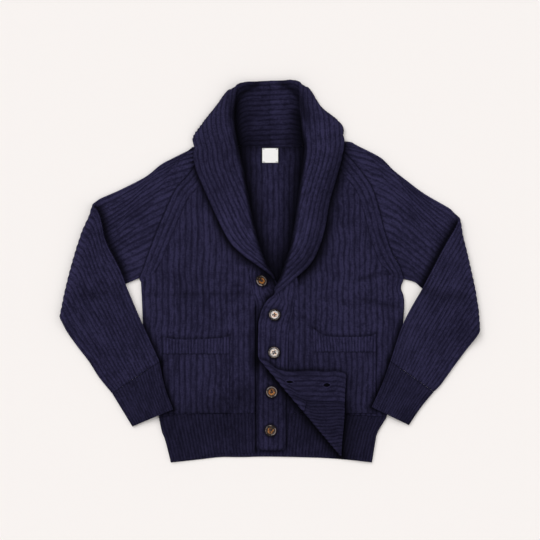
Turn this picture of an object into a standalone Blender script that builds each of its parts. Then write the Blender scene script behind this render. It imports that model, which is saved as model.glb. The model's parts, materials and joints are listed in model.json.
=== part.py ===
"""Shawl collar cardigan in chunky rib knit, laid flat on its back with the front up.

The garment lies in the XY plane with the neck towards +Y and its front facing +Z.  The wearer's
right side is at -X.  Both sleeves are folded back at the elbow over themselves, and the lower
corner of the upper front is folded back, wrong side up.  All tables are in millimetres.
"""
import math

import bmesh
import bpy
import numpy as np
from mathutils import Matrix, Vector, geometry

MM = 0.001
WALL = 2.4                   # knit between the ribs
RIB = 0.9                    # height of a rib over the wall
GAP = 0.3                    # air between two pieces
SEAM = 0.4                   # air between a panel and its slanting hem rib
LEVEL = WALL + RIB + GAP     # one layer of cloth
RIGHT_FRONT_PITCH = 12.0     # rib to rib
LEFT_FRONT_PITCH = 11.4
BACK_PITCH = 11.3
HEM_PITCH = 7.4
WELT_PITCH = 6.4
STRIP_PITCH = 10.2           # ribs of the collar and the front bands
SLEEVE_RIBS = 15             # ribs across one side of a flattened sleeve
SLEEVE_STACK = 8.0           # both walls of a flattened sleeve
SEAM_STACK = 2 * LEVEL - GAP
SLEEVE_BEND = 9.0            # outer radius of the elbow fold
FRONT_BEND = 5.25            # outer radius of the corner fold
SEAM_X = -29.3               # seam of the button band
OVER_SEAM_X = 36.0           # seam of the buttonhole band
CENTRE = (0.9, -0.7)         # middle of the laid garment in these tables
BUTTON_R = 12.0
BUTTON_H = 4.4
LABEL = (17.0, 253.0, 222.0, 0.8)   # half width, top, foot and thickness of the neck label

KNIT = ("rib_knit", (0.012, 0.011, 0.029), 0.9)
HORN = ("horn", (0.045, 0.02, 0.01), 0.3)
TAPE = ("neck_tape", (0.8, 0.8, 0.78), 0.8)

# Edges of the cut pieces: x, y
RAGLAN_R = [(-91, 263), (-134, 239), (-156, 216), (-171, 196), (-195, 169), (-216, 124), (-236, 77),
            (-257, 19), (-269, -15)]
RAGLAN_L = [(94, 264), (129, 259), (153, 245), (184, 210), (210, 172), (225, 126), (235, 85),
            (251, 39), (266, 13), (276, -17)]
SIDE_R = [(-269, -15), (-263.5, -30), (-263, -84), (-255, -181), (-240, -253), (-227, -298)]
SIDE_L = [(276, -17), (270, -34), (274, -80), (266, -161), (254, -233), (239, -298)]
HEM_TOP = [(-227, -298), (-185, -293), (-82, -291), (30, -291), (143, -293), (239, -298)]
HEM_SIDE_R = [(-227, -298), (-220, -329), (-216, -345), (-204, -392)]
HEM_SIDE_L = [(239, -298), (221, -330), (218, -346), (209, -392)]
HEM_BACK = [(-204, -392), (-184, -390), (-143, -385), (-102, -380), (1, -380), (103, -382), (165, -387),
            (209, -392)]
HEM_RIGHT = [(-203, -391), (-164, -385), (-134, -378), (-112, -373), (SEAM_X - 0.3, -372)]
HEM_LEFT = [(OVER_SEAM_X + 0.3, -373), (55, -375), (103, -378), (144, -382), (186, -389), (208, -391)]

# Sections of the collar's right half, from the centre back round the neck to the button band.
# A section starts at the seam, climbs the stand, turns over at the roll and falls to the free edge.
SECTION = ("seam_x", "seam_y", "seam_z", "rise_z", "roll_x", "roll_y", "roll_z", "stand_z", "fall_z",
           "mid_z", "outer_x", "outer_y", "outer_z", "edge_x", "edge_y", "edge_z")
COLLAR_RIGHT = [
    (-0.2, 254.6, 1.2, 6.4, -0.2, 388, 6.6, 11.0, 2.6, 2.5, -0.2, 325, 2.4, -0.2, 302, 2.4),
    (-28, 254.6, 1.2, 6.4, -30, 388, 6.6, 11.0, 2.6, 2.5, -32, 325, 2.4, -33, 302, 2.4),
    (-48, 254.8, 1.4, 7.0, -56, 386.5, 9.5, 14.0, 4.5, 3.0, -66, 338, 2.4, -64, 312, 2.4),
    (-62, 257.5, 2.8, 8.5, -70, 373, 20.0, 18.0, 14.0, 10.0, -94, 362, 5.5, -88, 336, 2.2),
    (-74, 262, 4.4, 9.0, -74, 343, 24.0, 18.0, 22.0, 17.0, -112, 337, 6.5, -108, 314, 2.2),
    (-84, 265.5, 6.0, 8.0, -74, 309, 24.0, 15.0, 25.0, 20.0, -138, 305, 7.5, -129, 286, 2.4),
    (-88.6, 262, 6.0, 6.4, -70, 276, 20.0, 10.0, 25.0, 20.0, -157, 274, 8.5, -149, 258, 3.2),
    (-89.6, 254, 6.0, 6.0, -65, 250, 15.0, 6.4, 24.0, 19.0, -138, 249, 13.0, -158, 245, 11.0),
    (-85.6, 213, 6.0, 6.0, -57, 215, 13.5, 6.0, 21.0, 16.5, -130, 214, 11.5, -154, 214, 10.6),
    (-77.6, 170, 6.0, 6.0, -50, 175, 13.0, 6.0, 20.0, 15.5, -118, 174, 10.5, -138, 174, 9.6),
    (-69.6, 126, 6.0, 6.0, -42, 134, 12.5, 6.0, 19.5, 14.5, -102, 134, 9.8, -120, 134, 9.2),
    (-61.6, 84, 6.0, 6.0, -34, 95, 12.0, 6.0, 18.5, 13.5, -87, 95, 9.4, -102, 95, 9.0),
    (-54.6, 48, 6.0, 6.0, -25, 62, 11.5, 6.0, 17.5, 13.0, -70, 61, 9.4, -81, 58, 9.0),
    (-47.6, 14, 5.6, 5.6, -16, 36, 11.0, 5.6, 16.5, 13.0, -46, 35, 10.4, -55, 33, 9.6),
    (-40.6, -14, 5.4, 5.4, -7, 13, 10.0, 5.4, 14.5, 12.6, -20, 14, 12.0, -27, 12.5, 11.4),
    (-34.6, -48, 4.9, 4.9, 7, -10, 7.6, 5.2, 10.0, 9.6, 4, -9.5, 9.4, 1, -9, 9.0),
    (-29.4, -68, 4.8, 4.8, 12, -49, 4.8, 4.8, 4.8, 4.8, 20, -45, 4.8, 27, -42, 4.8),
    (-29, -98, 4.8, 4.8, 11, -84, 4.8, 4.8, 4.8, 4.8, 24, -80, 4.8, 32, -77, 4.8),
]
COLLAR_LEFT = [
    (0.2, 254.6, 1.2, 6.4, 0.2, 388, 6.6, 11.0, 2.6, 2.5, 0.2, 325, 2.4, 0.2, 302, 2.4),
    (28, 254.6, 1.2, 6.4, 28, 388, 6.6, 11.0, 2.6, 2.5, 30, 325, 2.4, 31, 302, 2.4),
    (48, 254.8, 1.4, 7.0, 53, 388, 9.5, 14.0, 4.5, 3.0, 63, 341, 2.4, 60, 314, 2.4),
    (70, 258, 2.8, 8.5, 59, 377, 20.0, 18.0, 14.0, 10.0, 87, 367.5, 5.5, 82, 340, 2.2),
    (80, 262, 4.4, 9.0, 57, 343, 24.0, 18.0, 22.0, 17.0, 107, 336, 6.5, 103, 314, 2.2),
    (87, 266, 6.0, 8.0, 62, 312, 24.0, 15.0, 25.0, 20.0, 137, 309, 7.5, 128, 294, 2.4),
    (92, 265, 6.0, 6.4, 67, 280, 20.0, 10.0, 25.0, 20.0, 150, 291, 8.5, 142, 284, 4.0),
    (95, 256, 6.0, 6.0, 71, 252, 15.0, 6.4, 24.0, 19.0, 132, 264, 13.5, 151, 268, 12.0),
    (92.4, 212, 6.0, 6.0, 67, 214, 13.5, 6.0, 21.0, 16.5, 124, 225, 11.5, 147, 231, 10.6),
    (87.4, 168, 6.0, 6.0, 61, 172, 13.0, 6.0, 20.0, 15.5, 113, 181, 10.5, 134, 184, 9.6),
    (81.4, 122, 6.0, 6.0, 55, 130, 12.5, 6.0, 19.5, 14.5, 103, 138, 9.8, 122, 141, 9.2),
    (75.4, 80, 6.0, 6.0, 49, 88, 12.0, 6.0, 18.5, 13.5, 94, 93, 9.4, 114, 95, 9.0),
    (68.4, 44, 6.0, 6.0, 43, 53, 12.0, 6.0, 18.0, 13.5, 87, 54, 9.6, 103, 55, 9.0),
    (63.4, 6, 6.0, 6.6, 33, 23, 14.0, 8.4, 19.5, 15.0, 68, 18, 11.5, 84, 17, 9.8),
    (57.4, -32, 6.2, 8.6, 21, -12, 15.5, 11.8, 19.5, 17.0, 42, -12, 14.5, 54, -12, 13.0),
    (49.4, -64, 7.2, 9.0, 9, -37, 13.6, 11.0, 16.5, 15.8, 17, -37, 15.4, 23, -38, 15.0),
    (44.6, -92, 8.2, 8.6, 12, -68, 9.2, 9.0, 9.2, 9.2, 3, -62, 9.2, -4, -57, 9.2),
    (39.4, -114, 8.4, 8.4, 6, -94, 8.4, 8.4, 8.4, 8.4, -8, -85, 8.4, -17, -78, 8.4),
    (36.8, -138, 8.4, 8.4, -1, -119, 8.4, 8.4, 8.4, 8.4, -16, -110, 8.4, -24, -104, 8.4),
]
RIB_TURN = (13.0, 16.0)      # sections between which the ribs change to the strip's other face
COLLAR_ROWS = [0, 1, 2, 2.5, 3, 3.5, 4, 4.5, 5, 5.5, 6, 6.5, 7, 8, 10, 12, 13, 14, 14.5, 15, 15.5]

# Lower edges of the sleeves' cut, as they would lie unfolded: x, y
SLEEVES = {
    "right": {
        "top": [(-91, 265), (-156, 243.5), (-177, 244), (-201, 232), (-225, 219), (-255, 195), (-303, 170),
                (-331, 158), (-367, 139)],
        "under": [(-269.5, -14), (-296, -25), (-328, -37), (-421, -85)],
        "lower_top": [(-367, 139), (-400, 120), (-450, 78), (-489, 54), (-520, 29), (-583, -16), (-654, -64)],
        "lower_under": [(-421, -85), (-456, -107), (-492, -123), (-531, -138), (-566, -155), (-606, -169)],
        "cuff_top": [(-654, -64), (-691, -103), (-729, -133)],
        "cuff_under": [(-606, -169), (-640, -186), (-676, -204)],
        "fold": ((-374, 116), (-430, -83)),
    },
    "left": {
        "top": [(96, 268), (162, 269.5), (184, 256), (226, 232), (251, 207), (284, 182), (317, 158), (366, 131),
                (376, 122)],
        "under": [(276.5, -16), (311, -34), (348, -64), (420, -110)],
        "lower_top": [(376, 122), (408, 92), (440, 67), (507, 9), (573, -46), (629, -112)],
        "lower_under": [(420, -110), (445, -129), (480, -150), (515, -172), (549, -194), (569, -203)],
        "cuff_top": [(629, -112), (660, -147), (699, -185)],
        "cuff_under": [(569, -203), (606, -224), (641, -248)],
        "fold": ((389.5, 114), (433, -117)),
    },
}

# Patch pockets: piece, inner_x, outer_x, top edge of the welt, welt bottom, pouch bottom
POCKETS = {
    "right": {"x": (-220, -83), "rim": [(-220, -134), (-193, -139), (-142, -139), (-111, -137), (-83, -133)],
              "welt": -169, "foot": -290, "pitch": RIGHT_FRONT_PITCH},
    "left": {"x": (87.5, 217), "rim": [(87.5, -116), (101, -126), (114, -132), (143, -134), (202, -133), (217, -127)],
             "welt": -165, "foot": -290.5, "pitch": LEFT_FRONT_PITCH},
}
# Buttons down the band: x, y, z of the underside, lean in degrees
BUTTONS = [(-17, -19, 7.4, 5), (9, -89, 3 * LEVEL + 0.3, 0), (8, -166, 3 * LEVEL, 0),
           (3, -247, 2 * LEVEL, 0), (1, -326, 2 * LEVEL, 0)]
CORNER_FOLD = ((-21, -183), (140, -375))
CORNER_LINES = (16, 34, 50, 70, 88, 106)   # bend lines of the turned corner, past its fold
CURL = (70, 55, 5.0)         # how far past its fold the corner starts to lift, over what length, how high


def ease(t):
    """Smooth step from 0 to 1."""
    t = np.clip(t, 0, 1)
    return t * t * (3 - 2 * t)


def curve(points, per_span=4):
    """Smooth line through the points (Catmull-Rom)."""
    p = np.asarray(points, float)
    p = np.vstack([2 * p[0] - p[1], p, 2 * p[-1] - p[-2]])
    t = np.linspace(0, 1, per_span, endpoint=False)[:, None]
    out = []
    for a, b, c, d in zip(p[:-3], p[1:-2], p[2:-1], p[3:]):
        out.append(0.5 * (2 * b + (c - a) * t + (2 * a - 5 * b + 4 * c - d) * t**2 + (3 * b - a - 3 * c + d) * t**3))
    return np.vstack(out + [p[-2:-1]])


def along(line, fractions):
    """Points at these fractions of a line's length."""
    line = np.asarray(line, float)
    s = np.concatenate([[0], np.cumsum(np.linalg.norm(np.diff(line, axis=0), axis=1))])
    return np.stack([np.interp(np.asarray(fractions) * s[-1], s, c) for c in line.T], axis=-1)


def beside(line, gap):
    """A line moved sideways, to the left of its direction."""
    line = np.asarray(line, float)
    step = np.gradient(line, axis=0)
    step /= np.linalg.norm(step, axis=1, keepdims=True)
    return line + gap * np.column_stack([-step[:, 1], step[:, 0]])


def rib(x, pitch):
    """1 on a rib's crest, 0 in the groove between two ribs."""
    return np.abs(2 * ((np.asarray(x) / pitch) % 1) - 1)


class Solid:
    """Vertices and triangles of one closed solid."""

    def __init__(self):
        self.points = []
        self.faces = []

    def row(self, marks, points):
        """Adds a row of vertices, each with its mark along the row."""
        first = len(self.points)
        self.points.extend(tuple(p) for p in points)
        return [(m, first + i) for i, m in enumerate(marks)]

    def stitch(self, a, b):
        """Triangles between two rows, joined mark to mark."""
        i = j = 0
        while i < len(a) - 1 or j < len(b) - 1:
            ahead_a = a[i + 1][0] if i < len(a) - 1 else math.inf
            ahead_b = b[j + 1][0] if j < len(b) - 1 else math.inf
            if ahead_a <= ahead_b:
                self.faces.append((a[i][1], a[i + 1][1], b[j][1]))
                i += 1
            else:
                self.faces.append((a[i][1], b[j + 1][1], b[j][1]))
                j += 1

    def finish(self, name, finish):
        """Makes the Blender object."""
        mesh = bpy.data.meshes.new(name)
        mesh.from_pydata([tuple(c * MM for c in p) for p in self.points], [], self.faces)
        bm = bmesh.new()
        bm.from_mesh(mesh)
        bmesh.ops.recalc_face_normals(bm, faces=bm.faces)
        bm.to_mesh(mesh)
        bm.free()
        obj = bpy.data.objects.new(name, mesh)
        bpy.context.collection.objects.link(obj)
        mesh.materials.append(material(*finish))
        return obj


def material(name, colour, roughness):
    """Principled material, made once."""
    mat = bpy.data.materials.get(name)
    if mat is None:
        mat = bpy.data.materials.new(name)
        mat.use_nodes = True
        shader = mat.node_tree.nodes["Principled BSDF"]
        shader.inputs["Base Color"].default_value = (*colour, 1)
        shader.inputs["Roughness"].default_value = roughness
        shader.inputs["Metallic"].default_value = 0
        mat.diffuse_color = (*colour, 1)
    return mat


class Fold:
    """A straight fold that turns cloth up and back over itself.

    The visible edge runs from a to b, and inward points from the fold to the cloth that stays.
    """

    def __init__(self, edge, inward, radius, stack, base, rest):
        a, b = (np.asarray(p, float) for p in edge)
        self.u = (b - a) / np.linalg.norm(b - a)
        self.n = np.array([-self.u[1], self.u[0]])
        if self.n @ (np.asarray(inward, float) - a) < 0:
            self.n = -self.n
        self.a = a + self.n * radius
        self.radius = radius
        self.stack = stack
        self.middle = radius - stack / 2
        self.base = base
        self.rest = rest

    def past(self, xy):
        """Distance past the start of the bend."""
        return -((np.asarray(xy, float) - self.a) @ self.n)

    def place(self, xy, h):
        """Where a point of the flat cut lies, h above its underside."""
        xy = np.asarray(xy, float)
        d = self.past(xy)
        foot = xy + np.outer(d, self.n)
        turn = np.clip(d / self.middle, 0, math.pi)
        rho = self.radius - h
        run = np.maximum(d - math.pi * self.middle, 0)
        bend = foot - np.outer(rho * np.sin(turn) - run, self.n)
        start = self.base(foot)
        flat_z = self.base(xy) + h
        bend_z = start + self.radius - rho * np.cos(turn)
        back_z = self.rest(bend, start + 2 * self.radius - self.stack, run) + self.stack - h
        plan = np.where(d[:, None] <= 0, xy, bend)
        z = np.where(d <= 0, flat_z, np.where(run > 0, back_z, bend_z))
        return np.column_stack([plan, z])

    def turned(self, xy):
        """0 on the cloth that stays, 1 on the cloth that is folded over."""
        return ease(self.past(xy) / (math.pi * self.middle))

    def lines(self, steps, beyond=(), reach=1500):
        """Lines across the cut where the cloth bends."""
        out = []
        for d in [math.pi * self.middle * k / steps for k in range(steps + 1)] + list(beyond):
            mid = self.a - self.n * d
            out.append((mid - self.u * reach, mid + self.u * reach))
        return out


class Flat:
    """Cloth that lies at one height or over a smooth step."""

    def __init__(self, base):
        self.base = base

    def place(self, xy, h):
        xy = np.asarray(xy, float)
        return np.column_stack([xy, self.base(xy) + h])

    def turned(self, xy):
        return np.zeros(len(xy))


def level(k):
    """Underside of layer k."""
    return lambda xy: np.full(len(xy), k * LEVEL)


def over_button_band(xy):
    """The upper front lies on the back, and steps up on to the button band."""
    return LEVEL * (1 + ease((66 - np.asarray(xy)[:, 0]) / 31))


def corner_rest(xy, start, run):
    """Underside of the folded corner: it settles on the pocket, and its far point lifts."""
    low = 3 * LEVEL + 1.4
    settled = low + (start - low) * (1 - ease(run / 50))
    return settled + CURL[2] * ease((run - CURL[0]) / CURL[1])


def cut_piece(name, outline, pitch, cloth, creases=(), middle=0.0):
    """A knitted panel: ribs along Y raised over a plain wall, inside a closed outline."""
    outline = np.asarray(outline, float)
    ahead = np.roll(outline, -1, axis=0)
    if (outline[:, 0] * ahead[:, 1] - outline[:, 1] * ahead[:, 0]).sum() < 0:
        outline = outline[::-1]
    lo, hi = outline.min(0) - 5, outline.max(0) + 5
    first = math.ceil((lo[0] - middle) / (pitch / 2))
    last = math.floor((hi[0] - middle) / (pitch / 2))
    lines = [((middle + k * pitch / 2, lo[1]), (middle + k * pitch / 2, hi[1])) for k in range(first, last + 1)]
    lines += list(creases)
    verts = [Vector(p) for p in outline]
    loop = list(range(len(verts)))
    edges = []
    for a, b in lines:
        edges.append((len(verts), len(verts) + 1))
        verts += [Vector(a), Vector(b)]
    found, _, tris, _, _, source = geometry.delaunay_2d_cdt(verts, edges, [loop], 1, 1e-3)
    tris = [t for t, faces in zip(tris, source) if len(faces)]
    xy = np.array([tuple(v) for v in found])
    used = sorted({i for t in tris for i in t})
    number = {v: i for i, v in enumerate(used)}
    xy = xy[used]
    tris = [tuple(number[i] for i in t) for t in tris]
    crest = rib(xy[:, 0] - middle, pitch)
    turned = cloth.turned(xy)
    upper = cloth.place(xy, WALL + RIB * (crest * (1 - turned) + turned))
    lower = cloth.place(xy, RIB * (1 - crest) * turned)
    solid = Solid()
    count = len(xy)
    solid.points = [tuple(p) for p in np.vstack([upper, lower])]
    solid.faces = list(tris) + [(c + count, b + count, a + count) for a, b, c in tris]
    seen = {}
    for a, b, c in tris:
        for e in ((a, b), (b, c), (c, a)):
            seen[e] = True
    for a, b in seen:
        if (b, a) not in seen:
            solid.faces += [(a, a + count, b), (b, a + count, b + count)]
    return solid.finish(name, KNIT)


def coons(start, end, left, right):
    """Patch between four edge lines; f runs from left to right, v from start to end."""
    def at(f, v):
        f = np.asarray(f, float)
        s, e = along(start, f), along(end, f)
        lft, rgt = along(left, [v])[0], along(right, [v])[0]
        low = s * (1 - v) + e * v
        ends = np.outer(1 - f, lft) + np.outer(f, rgt)
        corners = (np.outer((1 - f) * (1 - v), left[0]) + np.outer((1 - f) * v, left[-1])
                   + np.outer(f * (1 - v), right[0]) + np.outer(f * v, right[-1]))
        return low + ends - corners
    return at


def tube(name, rows, cloth):
    """A flattened knitted tube, open at both ends.

    rows: for each ring its plan function of f, its stack height, whether ribs are on the upper
    face (0), the underside (1) or both, and whether it follows a curved seam.
    """
    solid = Solid()
    many = np.linspace(0, 1, 2 * SLEEVE_RIBS + 1)
    few = np.linspace(0, 1, 8)
    rings = []
    for plan, stack, over, seam in rows:
        width = np.linalg.norm(np.diff(plan(many), axis=0), axis=1).sum()
        ring = {}
        for skin, inset in (("outer", 0.0), ("inner", WALL / width)):
            ends = plan(np.array([inset, 1 - inset]))
            edge = cloth.place(ends, np.full(2, stack / 2))
            edge_rows = solid.row((0, 1), edge)
            for side in ("upper", "under"):
                shown = over < 1 if side == "upper" else over > 0
                marks = many if seam or (shown and skin == "outer") else few
                f = inset + (1 - 2 * inset) * marks[1:-1]
                crest = rib(marks[1:-1] * SLEEVE_RIBS, 1) if shown else np.ones(len(f))
                depth = RIB * (1 - crest)
                if side == "upper":
                    depth = depth * (1 - over)
                    floor = RIB * (1 - over)
                    h = stack - depth if skin == "outer" else stack - floor - WALL + 0 * f
                else:
                    depth = depth * over
                    floor = RIB * over
                    h = depth if skin == "outer" else floor + WALL + 0 * f
                inner_row = solid.row(marks[1:-1], cloth.place(plan(f), h))
                ring[skin, side] = [edge_rows[0], *inner_row, edge_rows[1]]
        rings.append(ring)
    for a, b in zip(rings, rings[1:]):
        for key in a:
            solid.stitch(a[key], b[key])
    for ring in (rings[0], rings[-1]):
        for side in ("upper", "under"):
            solid.stitch(ring["outer", side], ring["inner", side])
    return solid.finish(name, KNIT)


def height_over(line, out, start, run, top):
    """Height that falls from top to 0 past a line; out is a point on the low side."""
    a, b = np.asarray(line[0], float), np.asarray(line[1], float)
    u = (b - a) / np.linalg.norm(b - a)
    n = np.array([-u[1], u[0]])
    if n @ (np.asarray(out, float) - a) < 0:
        n = -n
    return lambda xy: top * (1 - ease(((xy - a) @ n - start) / run))


def sleeve(side, raglan, body_side, sign):
    """Sleeve and cuff of one side, folded back at the elbow."""
    cut = SLEEVES[side]
    upper_top, upper_under = curve(cut["top"]), curve(cut["under"])
    over_arm = height_over((cut["under"][1], cut["under"][-1]), (sign * 100, -500), 6, 50, SLEEVE_STACK + GAP)
    over_body = height_over(body_side, (sign * 600, -300), 8, 36, 2 * LEVEL + GAP)

    outer_x = POCKETS[side]["x"][0 if sign < 0 else 1]
    over_pocket = height_over(((outer_x, -169), (outer_x, -290)), (sign * 600, -200), 6, 30, 3 * LEVEL + 1.2)

    def rest(xy, start, run):
        pile = (over_arm(xy) ** 4 + over_body(xy) ** 4 + over_pocket(xy) ** 4) ** 0.25
        return pile + (start - SLEEVE_STACK - GAP) * (1 - ease(run / 50))

    fold = Fold(cut["fold"], (0, 0), SLEEVE_BEND, SLEEVE_STACK, level(0), rest)
    bend = math.pi * fold.middle

    def crossing(line, d):
        past = fold.past(line)
        i = int(np.argmax(past > d))
        t = (d - past[i - 1]) / (past[i] - past[i - 1])
        return line[i - 1] + t * (line[i] - line[i - 1])

    whole_top = np.vstack([upper_top, curve(cut["lower_top"])[1:]])
    whole_under = np.vstack([upper_under, curve(cut["lower_under"])[1:]])

    def trimmed(line, d0, d1):
        past = fold.past(line)
        keep = [p for p, d in zip(line, past) if (d0 is None or d > d0 + 1) and (d1 is None or d < d1 - 1)]
        head = [] if d0 is None else [crossing(line, d0)]
        tail = [] if d1 is None else [crossing(line, d1)]
        return np.array(head + keep + tail)

    top_a, under_a = trimmed(whole_top, None, 0), trimmed(whole_under, None, 0)
    top_b, under_b = trimmed(whole_top, bend, None), trimmed(whole_under, bend, None)
    start = beside(curve(raglan), sign * 0.8)
    start[0], start[-1] = top_a[0], under_a[0]
    upper = coons(start, np.array([top_a[-1], under_a[-1]]), top_a, under_a)
    cuff_line = np.array([top_b[-1], under_b[-1]])
    lower = coons(np.array([top_b[0], under_b[0]]), cuff_line, top_b, under_b)
    rows = []
    for v in (0, 0.15, 0.35, 0.6, 0.85):
        stack = SEAM_STACK + (SLEEVE_STACK - SEAM_STACK) * ease(v / 0.3)
        rows.append((lambda f, v=v: upper(f, v), stack, 0, v == 0))
    a0, a1 = top_a[-1], under_a[-1]
    b0, b1 = top_b[0], under_b[0]
    steps = 6
    for k in range(steps + 1):
        t = k / steps
        p, q = a0 * (1 - t) + b0 * t, a1 * (1 - t) + b1 * t
        over = min(max((k - 1) / (steps - 2), 0), 1)
        rows.append((lambda f, p=p, q=q: p + np.outer(f, q - p), SLEEVE_STACK, over, False))
    for v in (0.07, 0.15, 0.24, 0.34, 0.46, 0.6, 0.8):
        rows.append((lambda f, v=v: lower(f, v), SLEEVE_STACK, 1, False))
    rows.append((lambda f: lower(f, 1 - 0.0012), SLEEVE_STACK, 1, False))
    tube("sleeve_" + side, rows, fold)
    cuff_top, cuff_under = curve(cut["cuff_top"]), curve(cut["cuff_under"])
    cuff = coons(cuff_line, np.array([cuff_top[-1], cuff_under[-1]]), cuff_top, cuff_under)
    tube("cuff_" + side, [(lambda f, v=v: cuff(f, v), SLEEVE_STACK, 1, False) for v in (0.002, 0.35, 0.7, 1)], fold)


class CollarForm:
    """The collar strip's middle surface, from a table of sections."""

    STEPS = 96

    def __init__(self, table, face):
        col = {n: np.array([row[i] for row in table], float) for i, n in enumerate(SECTION)}
        seam = np.column_stack([col["seam_x"], col["seam_y"], col["seam_z"]])
        roll = np.column_stack([col["roll_x"], col["roll_y"], col["roll_z"]])
        outer = np.column_stack([col["outer_x"], col["outer_y"], col["outer_z"]])
        edge = np.column_stack([col["edge_x"], col["edge_y"], col["edge_z"]])

        def towards(a, b, most):
            step = (b - a)[:, :2]
            size = np.linalg.norm(step, axis=1, keepdims=True)
            return a[:, :2] + step / size * np.minimum(most, size * 0.45)

        stand = np.column_stack([towards(roll, seam, 8.5), col["stand_z"]])
        fall = np.column_stack([towards(roll, outer, 8.5), col["fall_z"]])
        rise = np.column_stack([seam[:, :2] * 0.7 + stand[:, :2] * 0.3, col["rise_z"]])
        mid = np.column_stack([(fall[:, :2] + outer[:, :2]) / 2, col["mid_z"]])
        self.nets = np.stack([edge, outer, mid, fall, roll, stand, rise, seam], axis=1)
        self.face = face

    def net(self, s):
        """Guide points of section s."""
        n = len(self.nets)
        i = int(min(max(math.floor(s), 0), n - 2))
        t = s - i
        p = self.nets
        a = p[i - 1] if i > 0 else 2 * p[0] - p[1]
        d = p[i + 2] if i + 2 < n else 2 * p[-1] - p[-2]
        b, c = p[i], p[i + 1]
        return 0.5 * (2 * b + (c - a) * t + (2 * a - 5 * b + 4 * c - d) * t**2 + (3 * b - a - 3 * c + d) * t**3)

    def path(self, s):
        """Section s as a fine line from the free edge to the seam."""
        return along(curve(self.net(s), 10), np.linspace(0, 1, self.STEPS))

    def roll_reach(self, s):
        """Distance from the free edge to the roll."""
        return np.linalg.norm(np.diff(curve(self.net(s)[:5], 10), axis=0), axis=1).sum()

    def shift(self, s):
        """Offset of the ribs: round the neck they follow the roll, down the fronts the free edge."""
        return self.roll_reach(s) - self.roll_reach(7) if s < 7 else 0.0

    def section(self, s):
        """Marks, points and normals of a section; the normal is on the convex face."""
        line = self.path(s)
        ds = 0.08
        span = self.path(min(s + ds, len(self.nets) - 1)) - self.path(max(s - ds, 0))
        tangent = np.gradient(line, axis=0)
        normal = np.cross(tangent, span) * self.face
        normal /= np.linalg.norm(normal, axis=1, keepdims=True)
        reach = np.concatenate([[0], np.cumsum(np.linalg.norm(np.diff(line, axis=0), axis=1))])
        shift = self.shift(s)
        marks = strip_marks(reach[-1], shift)
        pick = lambda a: np.stack([np.interp(marks + shift, reach, c) for c in a.T], axis=-1)
        n = pick(normal)
        return marks, pick(line), n / np.linalg.norm(n, axis=1, keepdims=True)


def strip_marks(width, shift=0.0):
    """Marks of the rib crests and grooves, and of both edges."""
    half = STRIP_PITCH / 2
    first = math.ceil((-shift + half / 4) / half)
    last = math.floor((width - shift - half / 2) / half)
    inner = np.arange(first, last + 1) * half
    return np.concatenate([[-shift], inner, [width - shift]])


def collar_strip(name, table, face, band_rows, cloth):
    """Half of the shawl collar with the front band that it runs into."""
    form = CollarForm(table, face)
    last = len(table) - 1
    solid = Solid()
    strips = []
    for s in COLLAR_ROWS + list(range(16, last + 1)):
        marks, line, normal = form.section(s)
        crest = 1 - rib(marks, STRIP_PITCH)
        crest[0], crest[-1] = 0, min(crest[-1], 0.5)
        tight = ease((s - 2) / 1.2) * (1 - ease((s - 6) / 1.2))
        past_roll = ease((marks + form.shift(s) - form.roll_reach(s) + 6) / 12)
        crest *= 1 - 0.75 * tight * past_roll
        flip = float(ease((s - RIB_TURN[0]) / (RIB_TURN[1] - RIB_TURN[0])))
        shown = WALL / 2 + RIB * (crest * (1 - flip))
        hidden = WALL / 2 + RIB * crest * flip
        pick = [i for i, m in enumerate(marks) if i in (0, len(marks) - 1) or round(m / STRIP_PITCH * 2) % 2 == 0]
        few = marks[pick]
        outer = solid.row(marks, line + normal * shown[:, None])
        if flip > 0:
            inner = solid.row(marks, line - normal * hidden[:, None])
        else:
            inner = solid.row(few, (line - normal * hidden[:, None])[pick])
        strips.append((outer, inner))
    for xy_edge, xy_seam in band_rows:
        a, b = np.asarray(xy_edge, float), np.asarray(xy_seam, float)
        width = np.linalg.norm(b - a)
        straight = abs(b[0] - a[0])
        marks = strip_marks(straight)
        xy = a + np.outer(marks / straight, b - a)
        crest = 1 - rib(marks, STRIP_PITCH)
        crest[-1] = min(crest[-1], 0.5)
        turned = cloth.turned(xy)
        top = cloth.place(xy, WALL + RIB * (crest * (1 - turned) + turned))
        low = cloth.place(xy, RIB * (1 - crest) * turned)
        strips.append((solid.row(marks, low), solid.row(marks, top)))
    for (outer_a, inner_a), (outer_b, inner_b) in zip(strips, strips[1:]):
        solid.stitch(outer_a, outer_b)
        solid.stitch(inner_a, inner_b)
        solid.stitch([(0, outer_a[0][1]), (1, inner_a[0][1])], [(0, outer_b[0][1]), (1, inner_b[0][1])])
        solid.stitch([(0, outer_a[-1][1]), (1, inner_a[-1][1])], [(0, outer_b[-1][1]), (1, inner_b[-1][1])])
    for outer, inner in (strips[0], strips[-1]):
        solid.stitch(outer, inner)
    return solid.finish(name, KNIT)


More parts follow.
